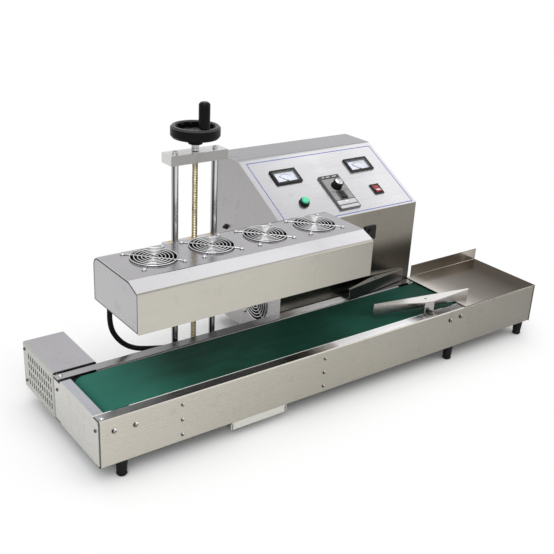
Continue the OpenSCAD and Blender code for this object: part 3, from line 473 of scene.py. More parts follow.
def brushed_sheet(name, colour, along, slope=None, top=None, front=None, bend=None, shaded_seams=(), glints=(),
                  shade_fade=None, rough=0.26, edge=(1, 1, 1)):
    """Brushed stainless sheet: streaks stretched along one axis over slow clouds and handling smudges. Faces
    that slope, look up, look to the front or lie in a bend to the front can take a painted tone of light and
    shade, with a list of greys that it runs through along the machine. Painted shade lies along each seam,
    and a painted highlight shines along each glint on a bent edge: both are planes, given by direction,
    distance and half width in millimetres. Between two heights the front darkens with painted shade to a
    share of its tone."""
    f = Finish(name)
    stretch = tuple(0.008 if k == along else 1 for k in range(3))
    fine = f.noise(900, 2, 0.6, stretch)
    broad = f.noise(170, 3, 0.6, stretch)
    slow = f.noise(5.5, 3, 0.5)
    smudge = f.noise(38, 4, 0.65).between(0.56, 0.74)
    streak = fine * 0.45 + broad * 0.55
    tone = ((streak - 0.5) * 0.2 + (slow - 0.5) * 0.24 + 0.5).limit()
    base, metal = colour, 1.0
    at = f.axes()
    _, behind, up = f.facing()
    ahead = behind * -1
    # Painted light and shade: each way a face can look takes a tone, and where its run is bright it loses
    # metal.
    level = up.between(0.94, 0.98)
    ways = (up.between(0.8, 0.86) - level, level, ahead.between(0.7, 0.9),
            ahead.between(0.5, 0.62) - ahead.between(0.84, 0.93))
    for share, look in zip(ways, (slope, top, front, bend)):
        if look:
            own, run = look
            if run:
                grey = f.along_machine(at[0], run)
                own = f.multiply(grey, own)
                loss = TOP_LOSS if look is top else SIDE_LOSS
                metal = metal - share * grey.between(*BRIGHT_RUN) * loss
            # Painted shade: the front darkens below the given heights.
            if shade_fade and look is front:
                low, high, least = shade_fade
                own = f.multiply(own, at[2].between(low * MM, high * MM) * (1 - least) + least)
            base = f.mix(share, base, own)
    # Painted shade along each seam.
    for plane in shaded_seams:
        base = f.multiply(base, SEAM_SHADE, f.near_plane(at, *plane))
    # A painted highlight along each bent edge.
    for plane in glints:
        share = f.near_plane(at, *plane)
        metal = metal - share * GLINT_LOSS
        base = f.mix(share, base, GLINT)
    base = f.multiply(base, tone * 0.56 + 0.72)
    base = f.multiply(base, SMUDGE, smudge * 0.4)
    roughness = (streak - 0.5) * 0.22 + smudge * 0.08 + rough
    return f.shade(
        Base_Color=base, Metallic=metal, Roughness=roughness, Specular_Tint=edge,
        Normal=f.bump(streak, 0.06, 0.0004), Anisotropic=0.35)


def polished(name, colour, rough):
    """Ground or plated metal: faint turning lines and a little haze."""
    f = Finish(name)
    lines = f.noise(1400, 2, 0.5, (0.05, 0.05, 1))
    haze = f.noise(22, 3, 0.6)
    base = f.mix(haze, tuple(c * 0.88 for c in colour), colour)
    return f.shade(
        Base_Color=base, Metallic=1.0, Roughness=rough + haze * 0.06 + lines * 0.05,
        Normal=f.bump(lines, 0.05, 0.0002))


def ground_rod(name, bright, dark):
    """Ground round bar: long dark and bright bands of painted reflection, set by the way the surface faces,
    over fine lines.
    """
    f = Finish(name)
    x, y, _ = f.facing()
    lines = f.noise(1400, 2, 0.5, (0.05, 0.05, 1))
    haze = f.noise(18, 3, 0.6, (1, 1, 0.3))
    side = x * 0.8 - y * 0.6
    painted_band = side.between(-0.75, -0.35) - side.between(0.0, 0.3) + side.between(0.62, 0.85) * 0.7
    base = f.mix((painted_band * 0.9 + haze * 0.15).limit(), bright, dark)
    return f.shade(Base_Color=base, Metallic=1.0, Roughness=haze * 0.06 + lines * 0.05 + 0.12)


def lit_screw(name, bright, dark):
    """Plated screw heads: painted shade on the side towards the drive end and a painted highlight on the far
    side, with a fine haze.
    """
    f = Finish(name)
    x = f.facing()[0]
    haze = f.noise(300, 3, 0.6)
    base = f.mix((x.between(-0.4, 0.25) + (haze - 0.5) * 0.2).limit(), dark, bright)
    return f.shade(Base_Color=base, Metallic=1.0, Roughness=0.16 + haze * 0.08)


def machined(name, colour, rough=0.34, along=0):
    """Milled or cast metal with a soft grain and cutter marks across it."""
    f = Finish(name)
    stretch = tuple(0.06 if k == along else 1 for k in range(3))
    marks = f.noise(420, 3, 0.6, stretch)
    patch = f.noise(26, 4, 0.6)
    tone = ((marks - 0.5) * 0.24 + (patch - 0.5) * 0.3 + 0.5).limit()
    base = f.mix(tone, tuple(c * 0.75 for c in colour), tuple(min(1, c * 1.2) for c in colour))
    return f.shade(
        Base_Color=base, Metallic=1.0, Roughness=rough + (patch - 0.5) * 0.2,
        Normal=f.bump(marks, 0.15, 0.0003))


def moulded(name, colour, rough=0.42, grain=1500, dust=0.04, gloss=0.25, top=None):
    """Moulded plastic: a fine spark-eroded grain with worn, paler patches and perhaps a paler top of painted
    reflection.
    """
    f = Finish(name)
    pits = f.noise(grain, 2, 0.5)
    wear = f.noise(60, 4, 0.65).between(0.5, 0.78)
    pale = tuple(min(1, c * 1.25 + dust * 0.12) for c in colour)
    base = f.mix(wear * 0.7, colour, pale)
    if top:
        base = f.mix(f.facing()[2].between(0.35, 0.9), base, top)
    return f.shade(
        Base_Color=base, Roughness=rough + wear * 0.12 + (pits - 0.5) * 0.1,
        Normal=f.bump(pits, 0.1, 0.0003), Specular_IOR_Level=gloss)


def plain_rubber(name, colour):
    """Rubber: fine pits under a pale bloom in patches."""
    f = Finish(name)
    pits = f.noise(700, 3, 0.6)
    bloom = f.noise(45, 4, 0.6).between(0.45, 0.8)
    base = f.mix(bloom, colour, tuple(c * 1.6 + 0.004 for c in colour))
    return f.shade(
        Base_Color=base, Roughness=0.62 + bloom * 0.2, Specular_IOR_Level=0.12,
        Normal=f.bump(pits, 0.25, 0.0004))


def belt_cloth(name, colour, worn):
    """Green conveyor belt: a fine matt weave, long running streaks and paler rubbed patches, and painted
    light that makes it paler towards the drive end and darker under the head."""
    f = Finish(name)
    x, y, _ = f.axes()
    threads = 5200
    weave = ((x * threads).wave() * (y * threads).wave()) * 0.5 + 0.5
    streak = f.noise(60, 4, 0.6, (0.05, 1, 1))
    rubbed = f.noise(7, 4, 0.6, (0.6, 1, 1)).between(0.42, 0.75)
    # Painted light at the drive end, and painted shade from the head beyond it.
    lit_drive_end = 1 - x.between(-0.44, -0.29)
    share = (streak * 0.25 + rubbed * 0.2 + lit_drive_end * 0.65).limit()
    base = f.mix(share, colour, worn)
    base = f.multiply(base, (0.6, 0.6, 0.6), weave * 0.3)
    return f.shade(
        Base_Color=base, Roughness=0.36 + streak * 0.14 + weave * 0.06, Specular_IOR_Level=0.04,
        Normal=f.bump(weave * 0.4 + streak * 0.6, 0.08, 0.0003))


def screw_brass(name, colour):
    """Yellow-plated screw thread: painted light ahead and painted shade towards both sides, with grease in
    patches.
    """
    f = Finish(name)
    x, y, _ = f.facing()
    side = (x * 0.8 - y * 0.6).away().between(0.3, 0.75)
    grease = f.noise(120, 4, 0.6, (1, 1, 0.4)).between(0.48, 0.7)
    base = f.mix((grease * 0.4 + side * 0.8).limit(), colour, tuple(c * 0.1 for c in colour))
    return f.shade(Base_Color=base, Metallic=1.0, Roughness=0.24 + grease * 0.3)


def clear_pane(name):
    """A clear window: nearly see-through, with a light film of finger marks."""
    f = Finish(name)
    marks = f.noise(70, 4, 0.6).between(0.5, 0.8)
    return f.shade(Base_Color=(0.9, 0.92, 0.93), Roughness=marks * 0.15 + 0.04, Alpha=marks * 0.05 + 0.07)


def lens_plastic(name, colour):
    """Tinted translucent moulding: a deep colour under a clear coat."""
    f = Finish(name)
    swirl = f.noise(160, 3, 0.5)
    base = f.mix(swirl, tuple(c * 0.8 for c in colour), tuple(min(1, c * 1.2) for c in colour))
    return f.shade(
        Base_Color=base, Roughness=swirl * 0.08 + 0.2, Coat_Weight=0.4, Coat_Roughness=0.06)


def printed(name, colour):
    """Ink or painted film: a field of colour with a faint screen-print grain."""
    f = Finish(name)
    grain = f.noise(1100, 2, 0.5)
    base = f.mix(grain, tuple(c * 0.9 for c in colour), tuple(min(1, c * 1.06) for c in colour))
    return f.shade(Base_Color=base, Roughness=grain * 0.06 + 0.5)


def ferrite_stone(name):
    """Pressed ferrite: dark grey with fine pits."""
    f = Finish(name)
    pits = f.noise(500, 4, 0.65)
    base = f.mix(pits, (0.03, 0.03, 0.035), (0.09, 0.09, 0.1))
    return f.shade(Base_Color=base, Roughness=0.55 + pits * 0.2, Normal=f.bump(pits, 0.2, 0.0003))


# Each sheet: its tone, the axis of its brushing and what differs from plain brushed sheet. The tones differ
# from sheet to sheet to paint in light and reflections. A look is a painted tone of light and shade and the
# greys it runs through, each at a place in millimetres from the drive end.
STEEL = {
    # Painted shade at the end plate's joint and on the flange under the head, a painted highlight on the
    # flange's bend, painted light beyond the head, and a front that darkens towards the infeed end.
    "front_rail": ((0.46, 0.44, 0.40), 0, dict(
        shaded_seams=[((1, 0, 0), 0.6, 0.8)], glints=[((0, 1, 0), 21.7, 1.3)],
        top=((0.98, 0.97, 1.0), [
            (0, 0.45), (60, 0.17), (160, 0.07), (400, 0.08), (470, 0.92), (640, 1), (720, 0.4)]),
        front=((0.51, 0.485, 0.425), [(0, 1), (1005, 0.43)]))),
    "rear_rail": ((0.52, 0.51, 0.51), 0, dict(
        front=((0.8, 0.79, 0.79), [(590, 0.28), (610, 0.12)]), bend=((0.16, 0.16, 0.16), []),
        slope=((0.2, 0.2, 0.2), []),
        top=((0.98, 0.97, 0.99), [(0, 0.4), (210, 0.17), (380, 0.13), (500, 1), (602, 1), (612, 0.3)]))),
    "end_plate": ((0.60, 0.59, 0.56), 1, dict(top=((0.44, 0.45, 0.48), []))),
    # The table's dark tone and grey edge tint are painted dark reflection; its top and front take painted
    # light.
    "infeed_table": ((0.125, 0.108, 0.098), 0, dict(
        rough=0.2, edge=(0.5, 0.46, 0.42),
        top=((0.62, 0.585, 0.55), [(785, 1), (850, 0.48), (960, 0.17)]),
        front=((0.60, 0.55, 0.48), [(790, 0.28), (900, 0.43), (962, 0.8), (1005, 0.5)]))),
    "belt_bed": ((0.45, 0.44, 0.42), 0, {}),
    "cross_ties": ((0.42, 0.41, 0.39), 1, {}),
    "base_channel": ((0.66, 0.66, 0.62), 0, {}),
    "motor_cover": ((0.46, 0.46, 0.43), 1, dict(
        top=((0.40, 0.39, 0.41), []), shaded_seams=[((0, 1, 0), 168.6, 0.8)])),
    "front_guide": ((0.37, 0.355, 0.34), 0, dict(rough=0.3, top=((0.76, 0.75, 0.73), []))),
    "rear_guide": ((0.27, 0.26, 0.25), 0, dict(
        rough=0.3, top=((0.86, 0.85, 0.83), []), front=((0.14, 0.128, 0.124), []))),
    # The cabinet's front darkens towards the bottom with painted shade from the head.
    "cabinet_cover": ((0.53, 0.52, 0.53), 0, dict(
        top=((0.31, 0.305, 0.325), []),
        slope=((0.78, 0.77, 0.795), [(455, 0.44), (746, 0.93)]),
        front=((0.56, 0.524, 0.45), [(580, 0.5), (650, 0.385)]), shade_fade=(183, 222, 0.4))),
    "cabinet_chassis": ((0.41, 0.40, 0.40), 2, {}),
    "head_cover": ((0.64, 0.62, 0.58), 0, dict(
        rough=0.18, top=((0.40, 0.39, 0.41), []), bend=((0.27, 0.255, 0.235), []),
        slope=((0.65, 0.64, 0.66), [(100, 0.53), (430, 0.67), (525, 1)]),
        front=((0.475, 0.455, 0.40), [(150, 1), (330, 0.95), (530, 0.68)]))),
    # Painted shade along the recess round each end face.
    "head_end_plates": ((0.47, 0.465, 0.475), 1, dict(shaded_seams=[
        ((0, 1, 0), 19.7, 0.8), ((0, 0, 1), 233.2, 0.8), ((0, 0, 1), 306.2, 0.8),
        ((0, 0.3714, -0.9285), -267.0, 0.8)])),
}


def finish_nodes(colours):
    """A finish for every CAD node, by the material its piece is made of."""
    black = moulded("black_moulding", colours.black)
    chrome = polished("bright_wire", (0.60, 0.60, 0.61), 0.12)
    alloy = machined("milled_alloy", (0.55, 0.55, 0.55))
    roller = machined("turned_roller", (0.52, 0.51, 0.50), 0.3, 1)
    cast = machined("grey_casting", (0.24, 0.245, 0.25), 0.5)
    bronze = screw_brass("bronze_bush", (0.62, 0.46, 0.22))
    bakelite = (0.003, 0.003, 0.0035)
    made = {
        "conveyor_belt": belt_cloth("belt", colours.belt, colours.belt_rubbed_and_lit),
        "drive_roller": roller, "idler_roller": roller, "bearing_blocks": cast, "gear_motor": cast,
        "feet": plain_rubber("foot_rubber", (0.008, 0.008, 0.0085)),
        "guide_clamp": machined("blackened_steel", (0.08, 0.08, 0.08), 0.4),
        "meter_windows": clear_pane("meter_pane"),
        "speed_controller": moulded("grey_moulding", (0.10, 0.10, 0.102), 0.35, 900),
        "power_rocker": lens_plastic("red_moulding", colours.red),
        "start_button": lens_plastic("green_moulding", colours.green),
        "cabinet_fan_guard": chrome, "fan_guards": chrome, "heat_sink": alloy,
        "power_board": moulded("circuit_board", (0.03, 0.16, 0.06), 0.35),
        "column_base": machined("column_steel", (0.36, 0.36, 0.36)),
        "guide_rods": ground_rod("ground_rod", (0.62, 0.63, 0.64), (0.10, 0.10, 0.10)),
        # The bar's top and front take painted tones of light and shade.
        "column_bar": brushed_sheet(
            "bar_alloy", (0.72, 0.72, 0.71), 0, top=((0.62, 0.62, 0.63), []),
            front=((0.32, 0.315, 0.31), [])),
        "lead_screw": bronze, "carriage": alloy, "carriage_bushes": bronze,
        "head_base": moulded("cream_insulator", (0.72, 0.68, 0.56), 0.45),
        "induction_coil": machined("copper_winding", (0.62, 0.30, 0.14), 0.3),
        "ferrite_bars": ferrite_stone("ferrite"),
        "head_cable": plain_rubber("cable_sheath", (0.004, 0.004, 0.0045)),
        # The wheel's paler top is a painted reflection.
        "handwheel": moulded("wheel_bakelite", bakelite, 0.3, 900, 0.01, 0.1, (0.06, 0.06, 0.062)),
        "crank_grip": moulded("grip_bakelite", bakelite, 0.3, 900, 0.01, 0.1),
    }
    for node, (colour, along, own) in STEEL.items():
        made[node] = brushed_sheet(node + "_steel", colour, along, **own)
    for name, node in NODES.items():
        node.data.materials.clear()
        node.data.materials.append(made.get(name, black))


# Properties

def tint(name, about, default):
    """A colour that a user can set."""
    return FloatVectorProperty(name=name, description=about, subtype="COLOR", default=default)


def extent(name, about, default):
    """A length in metres that a user can set."""
    return FloatProperty(name=name, description=about, unit="LENGTH", default=default)


class SealerColours(bpy.types.PropertyGroup):
    """Colours that a user would change."""
    belt: tint("Belt", "Green of the conveyor belt", (0.0045, 0.024, 0.0145))
    # This paler green also paints in the light at the belt's drive end.
    belt_rubbed_and_lit: tint("Belt, rubbed", "Paler green where the belt is rubbed", (0.036, 0.190, 0.143))
    black: tint("Black mouldings", "Black of the plastic mouldings", (0.005, 0.005, 0.0055))
    red: tint("Red", "Red of the power switch", (0.26, 0.008, 0.014))
    green: tint("Green", "Green of the start button", (0.06, 0.62, 0.34))
    blue: tint("Panel line", "Blue of the line round the panel", (0.13, 0.16, 0.42))


class SealerSizes(bpy.types.PropertyGroup):
    """Sizes of the small pieces."""
    wire: extent("Guard wire", "Diameter of the fan guards' wire", 0.002)
    cable: extent("Head cable", "Diameter of the cable to the head", 0.009)
    screw_head: extent("Screw heads", "Diameter of the small screw heads", 0.006)
    thread_lead: extent("Thread lead", "Lift of the head for each turn of the handwheel", 0.003)
    dial_ticks: IntProperty(
        name="Dial ticks", description="Divisions on each meter's scale", default=20, min=4, max=60)


def colours():
    return bpy.context.scene.sealer_colours


def sizes():
    return bpy.context.scene.sealer_sizes


# Operators

class SEALER_OT_stage(bpy.types.Operator):
    """Floor, soft studio light and the camera"""
    bl_idname = "sealer.stage"
    bl_label = "Studio"

    def execute(self, context):
        scene = context.scene
        scene.view_settings.view_transform = "Standard"
        self.floor()
        self.sky(scene)
        self.lamp("key_light", (-1.6, -2.0, 2.6), 2.2, 46)
        self.lamp("fill_light", (2.2, -1.6, 1.8), 2.4, 16)
        self.lamp("top_light", (0.2, 0.3, 2.8), 2.6, 22)
        self.camera(scene)
        return {"FINISHED"}

    def floor(self):
        """A flat disc of rings, r(u) growing outwards, which fades to plain white away from the object."""
        f = Finish("pale_floor")
        x, y, _ = f.axes()
        half_x, half_y = 0.45, 0.16
        off_x = (x.away() - half_x).maths("MAXIMUM", 0.0)
        off_y = (y.away() - half_y).maths("MAXIMUM", 0.0)
        far = (off_x * off_x + off_y * off_y) ** 0.5
        grain = f.noise(40, 3, 0.5)
        paper = f.node(
            "ShaderNodeBsdfPrincipled", {},
            {"Base Color": f.mix(grain, (0.90, 0.90, 0.90), (0.93, 0.93, 0.93)), "Roughness": 0.7})
        white = f.node("ShaderNodeEmission", {}, {"Color": (1, 1, 1, 1), "Strength": 1.0})
        seen = f.node("ShaderNodeLightPath", {}, {}, "Is Camera Ray")
        share = far.between(0.01, 0.2) * seen
        f.put(f.node("ShaderNodeMixShader", {}, {0: share, 1: paper, 2: white}))
        below = -0.4
        disc = turned([(r, below) for r in (0, 300, 700, 1500, 4000, 9000, 30000)], 48)
        link("floor", make_mesh("floor", disc, f.material, outwards=False))

    def sky(self, scene):
        """White where the camera, gloss and glass look, and a softer white as light."""
        world = bpy.data.worlds.new("studio_white")
        scene.world = world
        world.use_nodes = True
        tree = world.node_tree
        tree.nodes.clear()
        path = tree.nodes.new("ShaderNodeLightPath")
        seen = path.outputs["Is Camera Ray"]
        for ray in ("Is Glossy Ray", "Is Transmission Ray"):
            add = tree.nodes.new("ShaderNodeMath")
            add.operation = "ADD"
            add.use_clamp = True
            tree.links.new(seen, add.inputs[0])
            tree.links.new(path.outputs[ray], add.inputs[1])
            seen = add.outputs[0]
        strength = tree.nodes.new("ShaderNodeMapRange")
        strength.inputs["To Min"].default_value = 0.62
        strength.inputs["To Max"].default_value = 1.0
        light = tree.nodes.new("ShaderNodeBackground")
        light.inputs["Color"].default_value = (1, 1, 1, 1)
        out = tree.nodes.new("ShaderNodeOutputWorld")
        tree.links.new(seen, strength.inputs["Value"])
        tree.links.new(strength.outputs[0], light.inputs["Strength"])
        tree.links.new(light.outputs[0], out.inputs["Surface"])

    def lamp(self, name, place, side, power):
        data = bpy.data.lights.new(name, "AREA")
        data.shape = "SQUARE"
        data.size = side
        data.energy = power
        lamp = link(name, data)
        lamp.location = place
        target = Vector((0, 0, 0.2))
        lamp.rotation_euler = (target - Vector(place)).to_track_quat("-Z", "Y").to_euler()

    def camera(self, scene):
        """The photograph's viewpoint: turned, raised and rolled about the line of sight."""
        turn, rise, roll = (math.radians(v) for v in (-37.375, 23.173, 2.994))
        back = Vector((math.sin(turn) * math.cos(rise), -math.cos(turn) * math.cos(rise), math.sin(rise)))
        right = Vector((math.cos(turn), math.sin(turn), 0))
        up = back.cross(right)
        c, n = math.cos(roll), math.sin(roll)
        right, up = right * c + up * n, up * c - right * n
        data = bpy.data.cameras.new("photo_view")
        data.sensor_width = 36
        data.lens = 56.14
        data.clip_end = 60
        camera = link("photo_view", data)
        eye = (-0.95817, -1.21503, 0.82561)
        camera.matrix_world = Matrix([(right[k], up[k], back[k], eye[k]) for k in range(3)] + [(0, 0, 0, 1)])
        scene.camera = camera


class SEALER_OT_finishes(bpy.types.Operator):
    """Finishes of all CAD nodes"""
    bl_idname = "sealer.finishes"
    bl_label = "Finishes"

    def execute(self, context):
        finish_nodes(colours())
        printed("panel_ink", colours().blue)
        printed("dial_white", (0.74, 0.77, 0.88))
        printed("scale_ink", (0.02, 0.02, 0.025))
        printed("label_white", (0.80, 0.80, 0.79))
        moulded("field_grey", (0.28, 0.28, 0.285), 0.38, 900)
        moulded("field_silver", (0.54, 0.54, 0.55), 0.35, 900)
        moulded("strip_grey", (0.055, 0.055, 0.058), 0.4)
        polished("zinc_screw", (0.50, 0.50, 0.49), 0.2)
        lit_screw("bolt_zinc", (0.85, 0.85, 0.83), (0.03, 0.03, 0.03))
        polished("bright_cap", (0.62, 0.62, 0.62), 0.12)
        machined("dark_screw", (0.10, 0.10, 0.10), 0.35)
        screw_brass("yellow_thread", (0.56, 0.49, 0.32))
        return {"FINISHED"}


class SEALER_OT_cable(bpy.types.Operator):
    """Cable from the head to the cabinet"""
    bl_idname = "sealer.cable"
    bl_label = "Head cable"

    route = [
        (110, 183, 222), (110, 183, 200), (110, 183, 178), (114, 183, 158), (124, 183, 140), (138, 183, 125),
        (156, 183, 114), (178, 183, 107), (205, 183, 101), (240, 183, 95), (280, 184, 90), (320, 186, 86),
        (349, 188, 80.4), (378, 189.5, 67), (408, 190, 53.6), (437, 190, 48),
    ]

    def execute(self, context):
        path = smooth_path([spot(*p) for p in self.route], 8)
        thick = sizes().cable
        cable = make_piece(
            "cable_sheath", drawn(path, thick / 2, 20, side=(0, 1, 0)), "cable_sheath", None,
            ("head_cable",))
        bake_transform(cable)
        return {"FINISHED"}


class SEALER_OT_guards(bpy.types.Operator):
    """Wire guards of the fans, with the screws that hold them"""
    bl_idname = "sealer.guards"
    bl_label = "Fan guards"

    rings = (7, 13, 19, 25, 31, 37.5)

    def guard(self):
        """Rings and legs of round wire over the plate at z = 0: circles of each radius laid on straight legs
        from the middle to an eye at each corner."""
        r = sizes().wire / 2
        a = np.linspace(0, 2 * np.pi, 72, endpoint=False)
        circle = np.stack([np.cos(a), np.sin(a), 0 * a], -1)
        ring_height, eye = 2.2 * MM, FAN_EYE * math.sqrt(2) * MM
        shapes = [drawn(circle * k * MM + [0, 0, ring_height], r, 10, True) for k in self.rings]
        for k in range(4):
            turn = np.pi / 4 + k * np.pi / 2
            way = np.array([np.cos(turn), np.sin(turn), 0])
            line = np.linspace(0, eye - EYE_RADIUS, 8)[:, None] * way
            shapes.append(drawn(line + [0, 0, r], r, 10))
            shapes.append(drawn(circle[::3] * EYE_RADIUS + way * eye + [0, 0, r], r, 10, True))
        return joined(shapes)

    def screws(self):
        """Four screws, each on an eye's wire."""
        head, lift = cross_screw(6.4, 2.4), 1.8 * MM
        corners = [(i * FAN_EYE * MM, j * FAN_EYE * MM, lift) for i in (-1, 1) for j in (-1, 1)]
        return joined([moved(head, placed(corner, (1, 0, 0), (0, 1, 0))) for corner in corners])

    def execute(self, context):
        guard, screws = self.guard(), self.screws()
        tops = [facing_up(x, FAN_Y, HEAD_TOP) for x in FAN_X]
        side = [facing_left(*CABINET_FAN)]
        for name, heads, body, node, places in (
                ("head_guards", "head_guard_screws", "head", "fan_guards", tops),
                ("cabinet_guard", "cabinet_guard_screws", "machine", "cabinet_fan_guard", side)):
            make_piece(name, [moved(guard, p) for p in places], "bright_wire", body, (node,))
            make_piece(heads, [moved(screws, p) for p in places], "zinc_screw", body)
        return {"FINISHED"}


class SEALER_OT_ends(bpy.types.Operator):
    """Faces of the head's two end plates, level with the cover's edges"""
    bl_idname = "sealer.ends"
    bl_label = "Head ends"

    # The cover's outline in y and z up to its rounded rear corner, and that corner's middle and radius.
    front = [(16, HEAD_LOW), (16, 298), (46, HEAD_TOP)]
    corner, radius = (148, 292), 18
    # How far a face lies inside the outline at its back, at the foot of its chamfer and at its front.
    gaps = (2.7, 2.7, 3.1)

    def face(self, places):
        """The cover's outline moved inwards by each gap, at the gap's place in x, and closed at both ends."""
        a = np.linspace(np.pi / 2, 0, 9)
        corner = self.corner + self.radius * np.stack([np.cos(a), np.sin(a)], -1)
        outline = np.concatenate([self.front, corner, [(self.corner[0] + self.radius, HEAD_LOW)]])
        rows = [[spot(x, y, z) for y, z in inset(outline, gap)] for x, gap in zip(places, self.gaps)]
        return surface(np.asarray(rows), wrap_v=True, cap_first=True, cap_last=True)

    def execute(self, context):
        left, right = (79.4, 76.8, 76.4), (532.6, 535.2, 535.6)
        faces = [self.face(left), self.face(right)]
        make_piece("head_end_faces", faces, "head_end_plates_steel", "head")
        return {"FINISHED"}


class SEALER_OT_thread(bpy.types.Operator):
    """Thread of the lead screw"""
    bl_idname = "sealer.thread"
    bl_label = "Lead screw"

    def execute(self, context):
        low, high = (p.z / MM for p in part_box("lead_screw"))
        place = facing_up(*SCREW_AXIS, 0)
        thread = threaded(5.0, 0.75, sizes().thread_lead / MM, low, high)
        make_piece(
            "screw_thread", moved(thread, place), "yellow_thread", "handwheel",
            ("lead_screw",))
        collar = turned([
            (4.6, 445.3), (6, 445.3), (6.5, 445.8), (6.5, 449.6), (6.1, 450), (6.1, 450.6), (6.5, 451),
            (6.5, 456.5), (6.2, 457), (4.6, 457)], 40)
        make_piece("screw_collar", moved(collar, place), "zinc_screw", "handwheel")
        return {"FINISHED"}


class SEALER_OT_panel(bpy.types.Operator):
    """Line round the panel, meter dials and the fields of the speed controller"""
    bl_idname = "sealer.panel"
    bl_label = "Panel"

    def dial(self):
        """A scale over a quarter turn about the needle's pin: bars, each a quad between two radii and every
        fifth one longer and wider, on an arc."""
        count, pin = sizes().dial_ticks + 1, -10
        a = np.radians(np.linspace(135, 45, count))
        long = np.arange(count) % 5 == 0
        low = np.full(count, 17.5)[:, None]
        high = np.where(long, 21.5, 19.5)[:, None]
        half = np.where(long, 0.25, 0.14)[:, None]
        way = np.stack([np.cos(a), np.sin(a)], -1)
        across = np.stack([-np.sin(a), np.cos(a)], -1) * half
        corners = [way * low - across, way * high - across, way * high + across, way * low + across]
        flat = np.stack(corners, 1).reshape(-1, 2) + [0, pin]
        bars = np.concatenate([flat, np.full((len(flat), 1), SCALE_LIFT)], 1) * MM
        faces = np.arange(len(flat)).reshape(-1, 4).tolist()
        sweep = np.radians(np.linspace(135, 45, 40))[None, :]
        r = np.array([17.2, 17.55])[:, None]
        arc = np.stack([r * np.cos(sweep), r * np.sin(sweep) + pin, SCALE_LIFT + 0 * r * sweep], -1) * MM
        return joined([(bars, faces), surface(arc)])

    def execute(self, context):
        line = moved(border(318, 166, 1.5, 2.0, 0.12), on_panel(171, 86.5))
        make_piece("panel_line", line, "panel_ink", "machine")
        meters = [on_panel(KNOB[0] + s * METER_OFF, METER_UP) for s in (-1, 1)]
        face = moved(plate(48.6, 24.6, 0.2, 0.5, 0.05), placed((0, 0, DIAL_LIFT * MM), (1, 0, 0), (0, 1, 0)))
        dial = self.dial()
        make_piece("meter_dials", [moved(face, p) for p in meters], "dial_white", "machine")
        make_piece("meter_scales", [moved(dial, p) for p in meters], "scale_ink", "machine")
        self.controller()
        self.knob()
        self.rocker()
        return {"FINISHED"}

    def controller(self):
        """Fields of the speed controller's face, and the marks on its strip and round its knob."""
        middle, off, level = KNOB[0], 16.7, 49.5
        fields = (
            ("controller_top_strip", 47, 8, middle, STRIP_UP, "strip_grey"),
            ("controller_dial_field", 46, 33, middle, 77.8, "field_grey"),
            ("controller_left_field", 12.5, 22, middle - off, level, "field_grey"),
            ("controller_right_field", 12.5, 22, middle + off, level, "field_grey"),
            ("controller_low_field", 46, 10.5, middle, 31, "field_silver"),
            ("controller_foot_field", 46, 7, middle, 19.5, "field_silver"))
        for name, w, h, x, up, finish in fields:
            field = moved(plate(w, h, 0.4, 0.8, 0.15), on_panel(x, up, CONTROLLER_FACE))
            make_piece(name, field, finish, "machine")
        marks = [
            moved(plate(w, 1.6, 0.5, 0.3, 0.1), on_panel(middle + x, STRIP_UP, CONTROLLER_FACE))
            for x, w in ((-16, 6), (-4, 8), (12, 10))]
        marks.append(moved(plate(9, 2.2, 0.5, 0.4, 0.1), on_panel(middle, 33, CONTROLLER_FACE)))
        dot, reach = turned([(0.8, 0), (0.8, 0.45), (0.6, 0.5), (0, 0.5)], 12), 14.5
        for a in np.radians(np.linspace(-50, 230, 11)):
            x, up = middle + reach * math.cos(a), KNOB[1] + reach * math.sin(a)
            marks.append(moved(dot, on_panel(x, up, CONTROLLER_FACE)))
        make_piece("controller_marks", marks, "label_white", "machine")

    def knob(self):
        """The speed knob's bright cap and the pointer on it."""
        place = on_panel(*KNOB)
        cap = turned([(8.2, 19.25), (8.2, 19.6), (7.6, KNOB_TOP), (0, 19.95)], 40)
        make_piece("knob_cap", moved(cap, place), "bright_cap", "speed_knob")
        along = placed((0, 4.6 * MM, KNOB_TOP * MM), (1, 0, 0), (0, 1, 0))
        line = moved(plate(0.9, 6, 0.3, 0.3, 0.08), along)
        make_piece("knob_pointer", moved(line, place), "scale_ink", "speed_knob")

    def rocker(self):
        """The pale mark on the lower half of the red rocker, which leans."""
        lean = placed((0, 0, 0), (1, 0, 0), ROCKER_LEAN)
        half = placed((0, -5 * MM, 3.75 * MM), (1, 0, 0), ROCKER_LEAN)
        mark = moved(plate(9, 4.4, 0.25, 0.5, 0.08), on_panel(*ROCKER) @ lean @ half)
        make_piece("rocker_mark", mark, "label_white", "power_rocker")


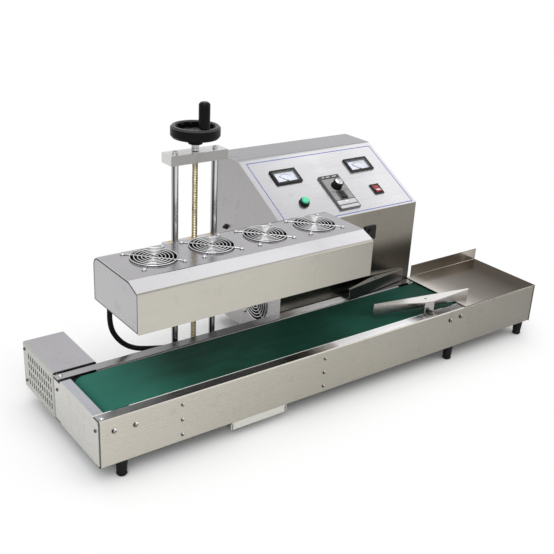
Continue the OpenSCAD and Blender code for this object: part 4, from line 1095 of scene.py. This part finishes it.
class SEALER_OT_fasteners(bpy.types.Operator):
    """Bolts and screws on the sheets"""
    bl_idname = "sealer.fasteners"
    bl_label = "Fasteners"

    def execute(self, context):
        small = cross_screw(sizes().screw_head / MM, 2.2)
        bolt = cross_screw(8.5, 3.0)
        bolts = ((24.5, 93), (60.4, 92), (749.4, 95.6), (778.5, 97.3))
        front = [moved(bolt, facing_front(x, 0, z)) for x, z in bolts]
        front += [moved(small, facing_front(x, 0, z)) for x in (143, 432) for z in (100, 72.5, 45)]
        make_piece("rail_bolts", front, "bolt_zinc", "machine")
        top = [moved(cross_screw(7.5, 2.6), facing_up(9, y, RAIL_TOP)) for y in (9, 159)]
        make_piece("flange_screws", top, "bright_cap", "machine")
        ends = [moved(small, facing_left(0, y, 94)) for y in (13, 153.7)]
        ends += [moved(small, facing_left(0, y, z)) for y, z in ((292, 105), (289, 45))]
        make_piece("end_screws", ends, "dark_screw", "machine")
        x, y = SCREW_AXIS
        bar = [moved(socket_screw(9, 3.5), facing_up(x + off, y, BAR_TOP)) for off in (-39, 39)]
        make_piece("bar_screws", bar, "zinc_screw", "machine")
        self.inlet()
        return {"FINISHED"}

    def inlet(self):
        """Three flat pins in the mains inlet, the middle one higher."""
        pin = pad(4, 2, 0.3, [(0, 0), (0, 15), (0.4, 16), (0.7, 16.4)])
        pins = [moved(pin, facing_back(515 + x, 390, 82 + z)) for x, z in ((-7, -2), (0, 3), (7, -2))]
        make_piece("inlet_pins", pins, "zinc_screw", "machine")


class SEALER_PT_sealer(bpy.types.Panel):
    """Sizes, colours and the pieces of the sealer"""
    bl_idname = "SEALER_PT_sealer"
    bl_label = "Induction cap sealer"
    bl_space_type = "VIEW_3D"
    bl_region_type = "UI"
    bl_category = "Sealer"

    def draw(self, context):
        for group in (context.scene.sealer_sizes, context.scene.sealer_colours):
            box = self.layout.box()
            for name in group.__annotations__:
                box.prop(group, name)
        for operator in OPERATORS:
            self.layout.operator(operator.bl_idname)


OPERATORS = (
    SEALER_OT_stage, SEALER_OT_finishes, SEALER_OT_cable, SEALER_OT_guards, SEALER_OT_ends,
    SEALER_OT_thread, SEALER_OT_panel, SEALER_OT_fasteners)
CLASSES = (SealerColours, SealerSizes, *OPERATORS, SEALER_PT_sealer)


def register():
    for cls in CLASSES:
        bpy.utils.register_class(cls)
    bpy.types.Scene.sealer_colours = PointerProperty(type=SealerColours)
    bpy.types.Scene.sealer_sizes = PointerProperty(type=SealerSizes)


def unregister():
    del bpy.types.Scene.sealer_sizes
    del bpy.types.Scene.sealer_colours
    for cls in reversed(CLASSES):
        bpy.utils.unregister_class(cls)


def main():
    register()
    for operator in OPERATORS:
        group, name = operator.bl_idname.split(".")
        getattr(getattr(bpy.ops, group), name)()


if __name__ == "__main__":
    main()
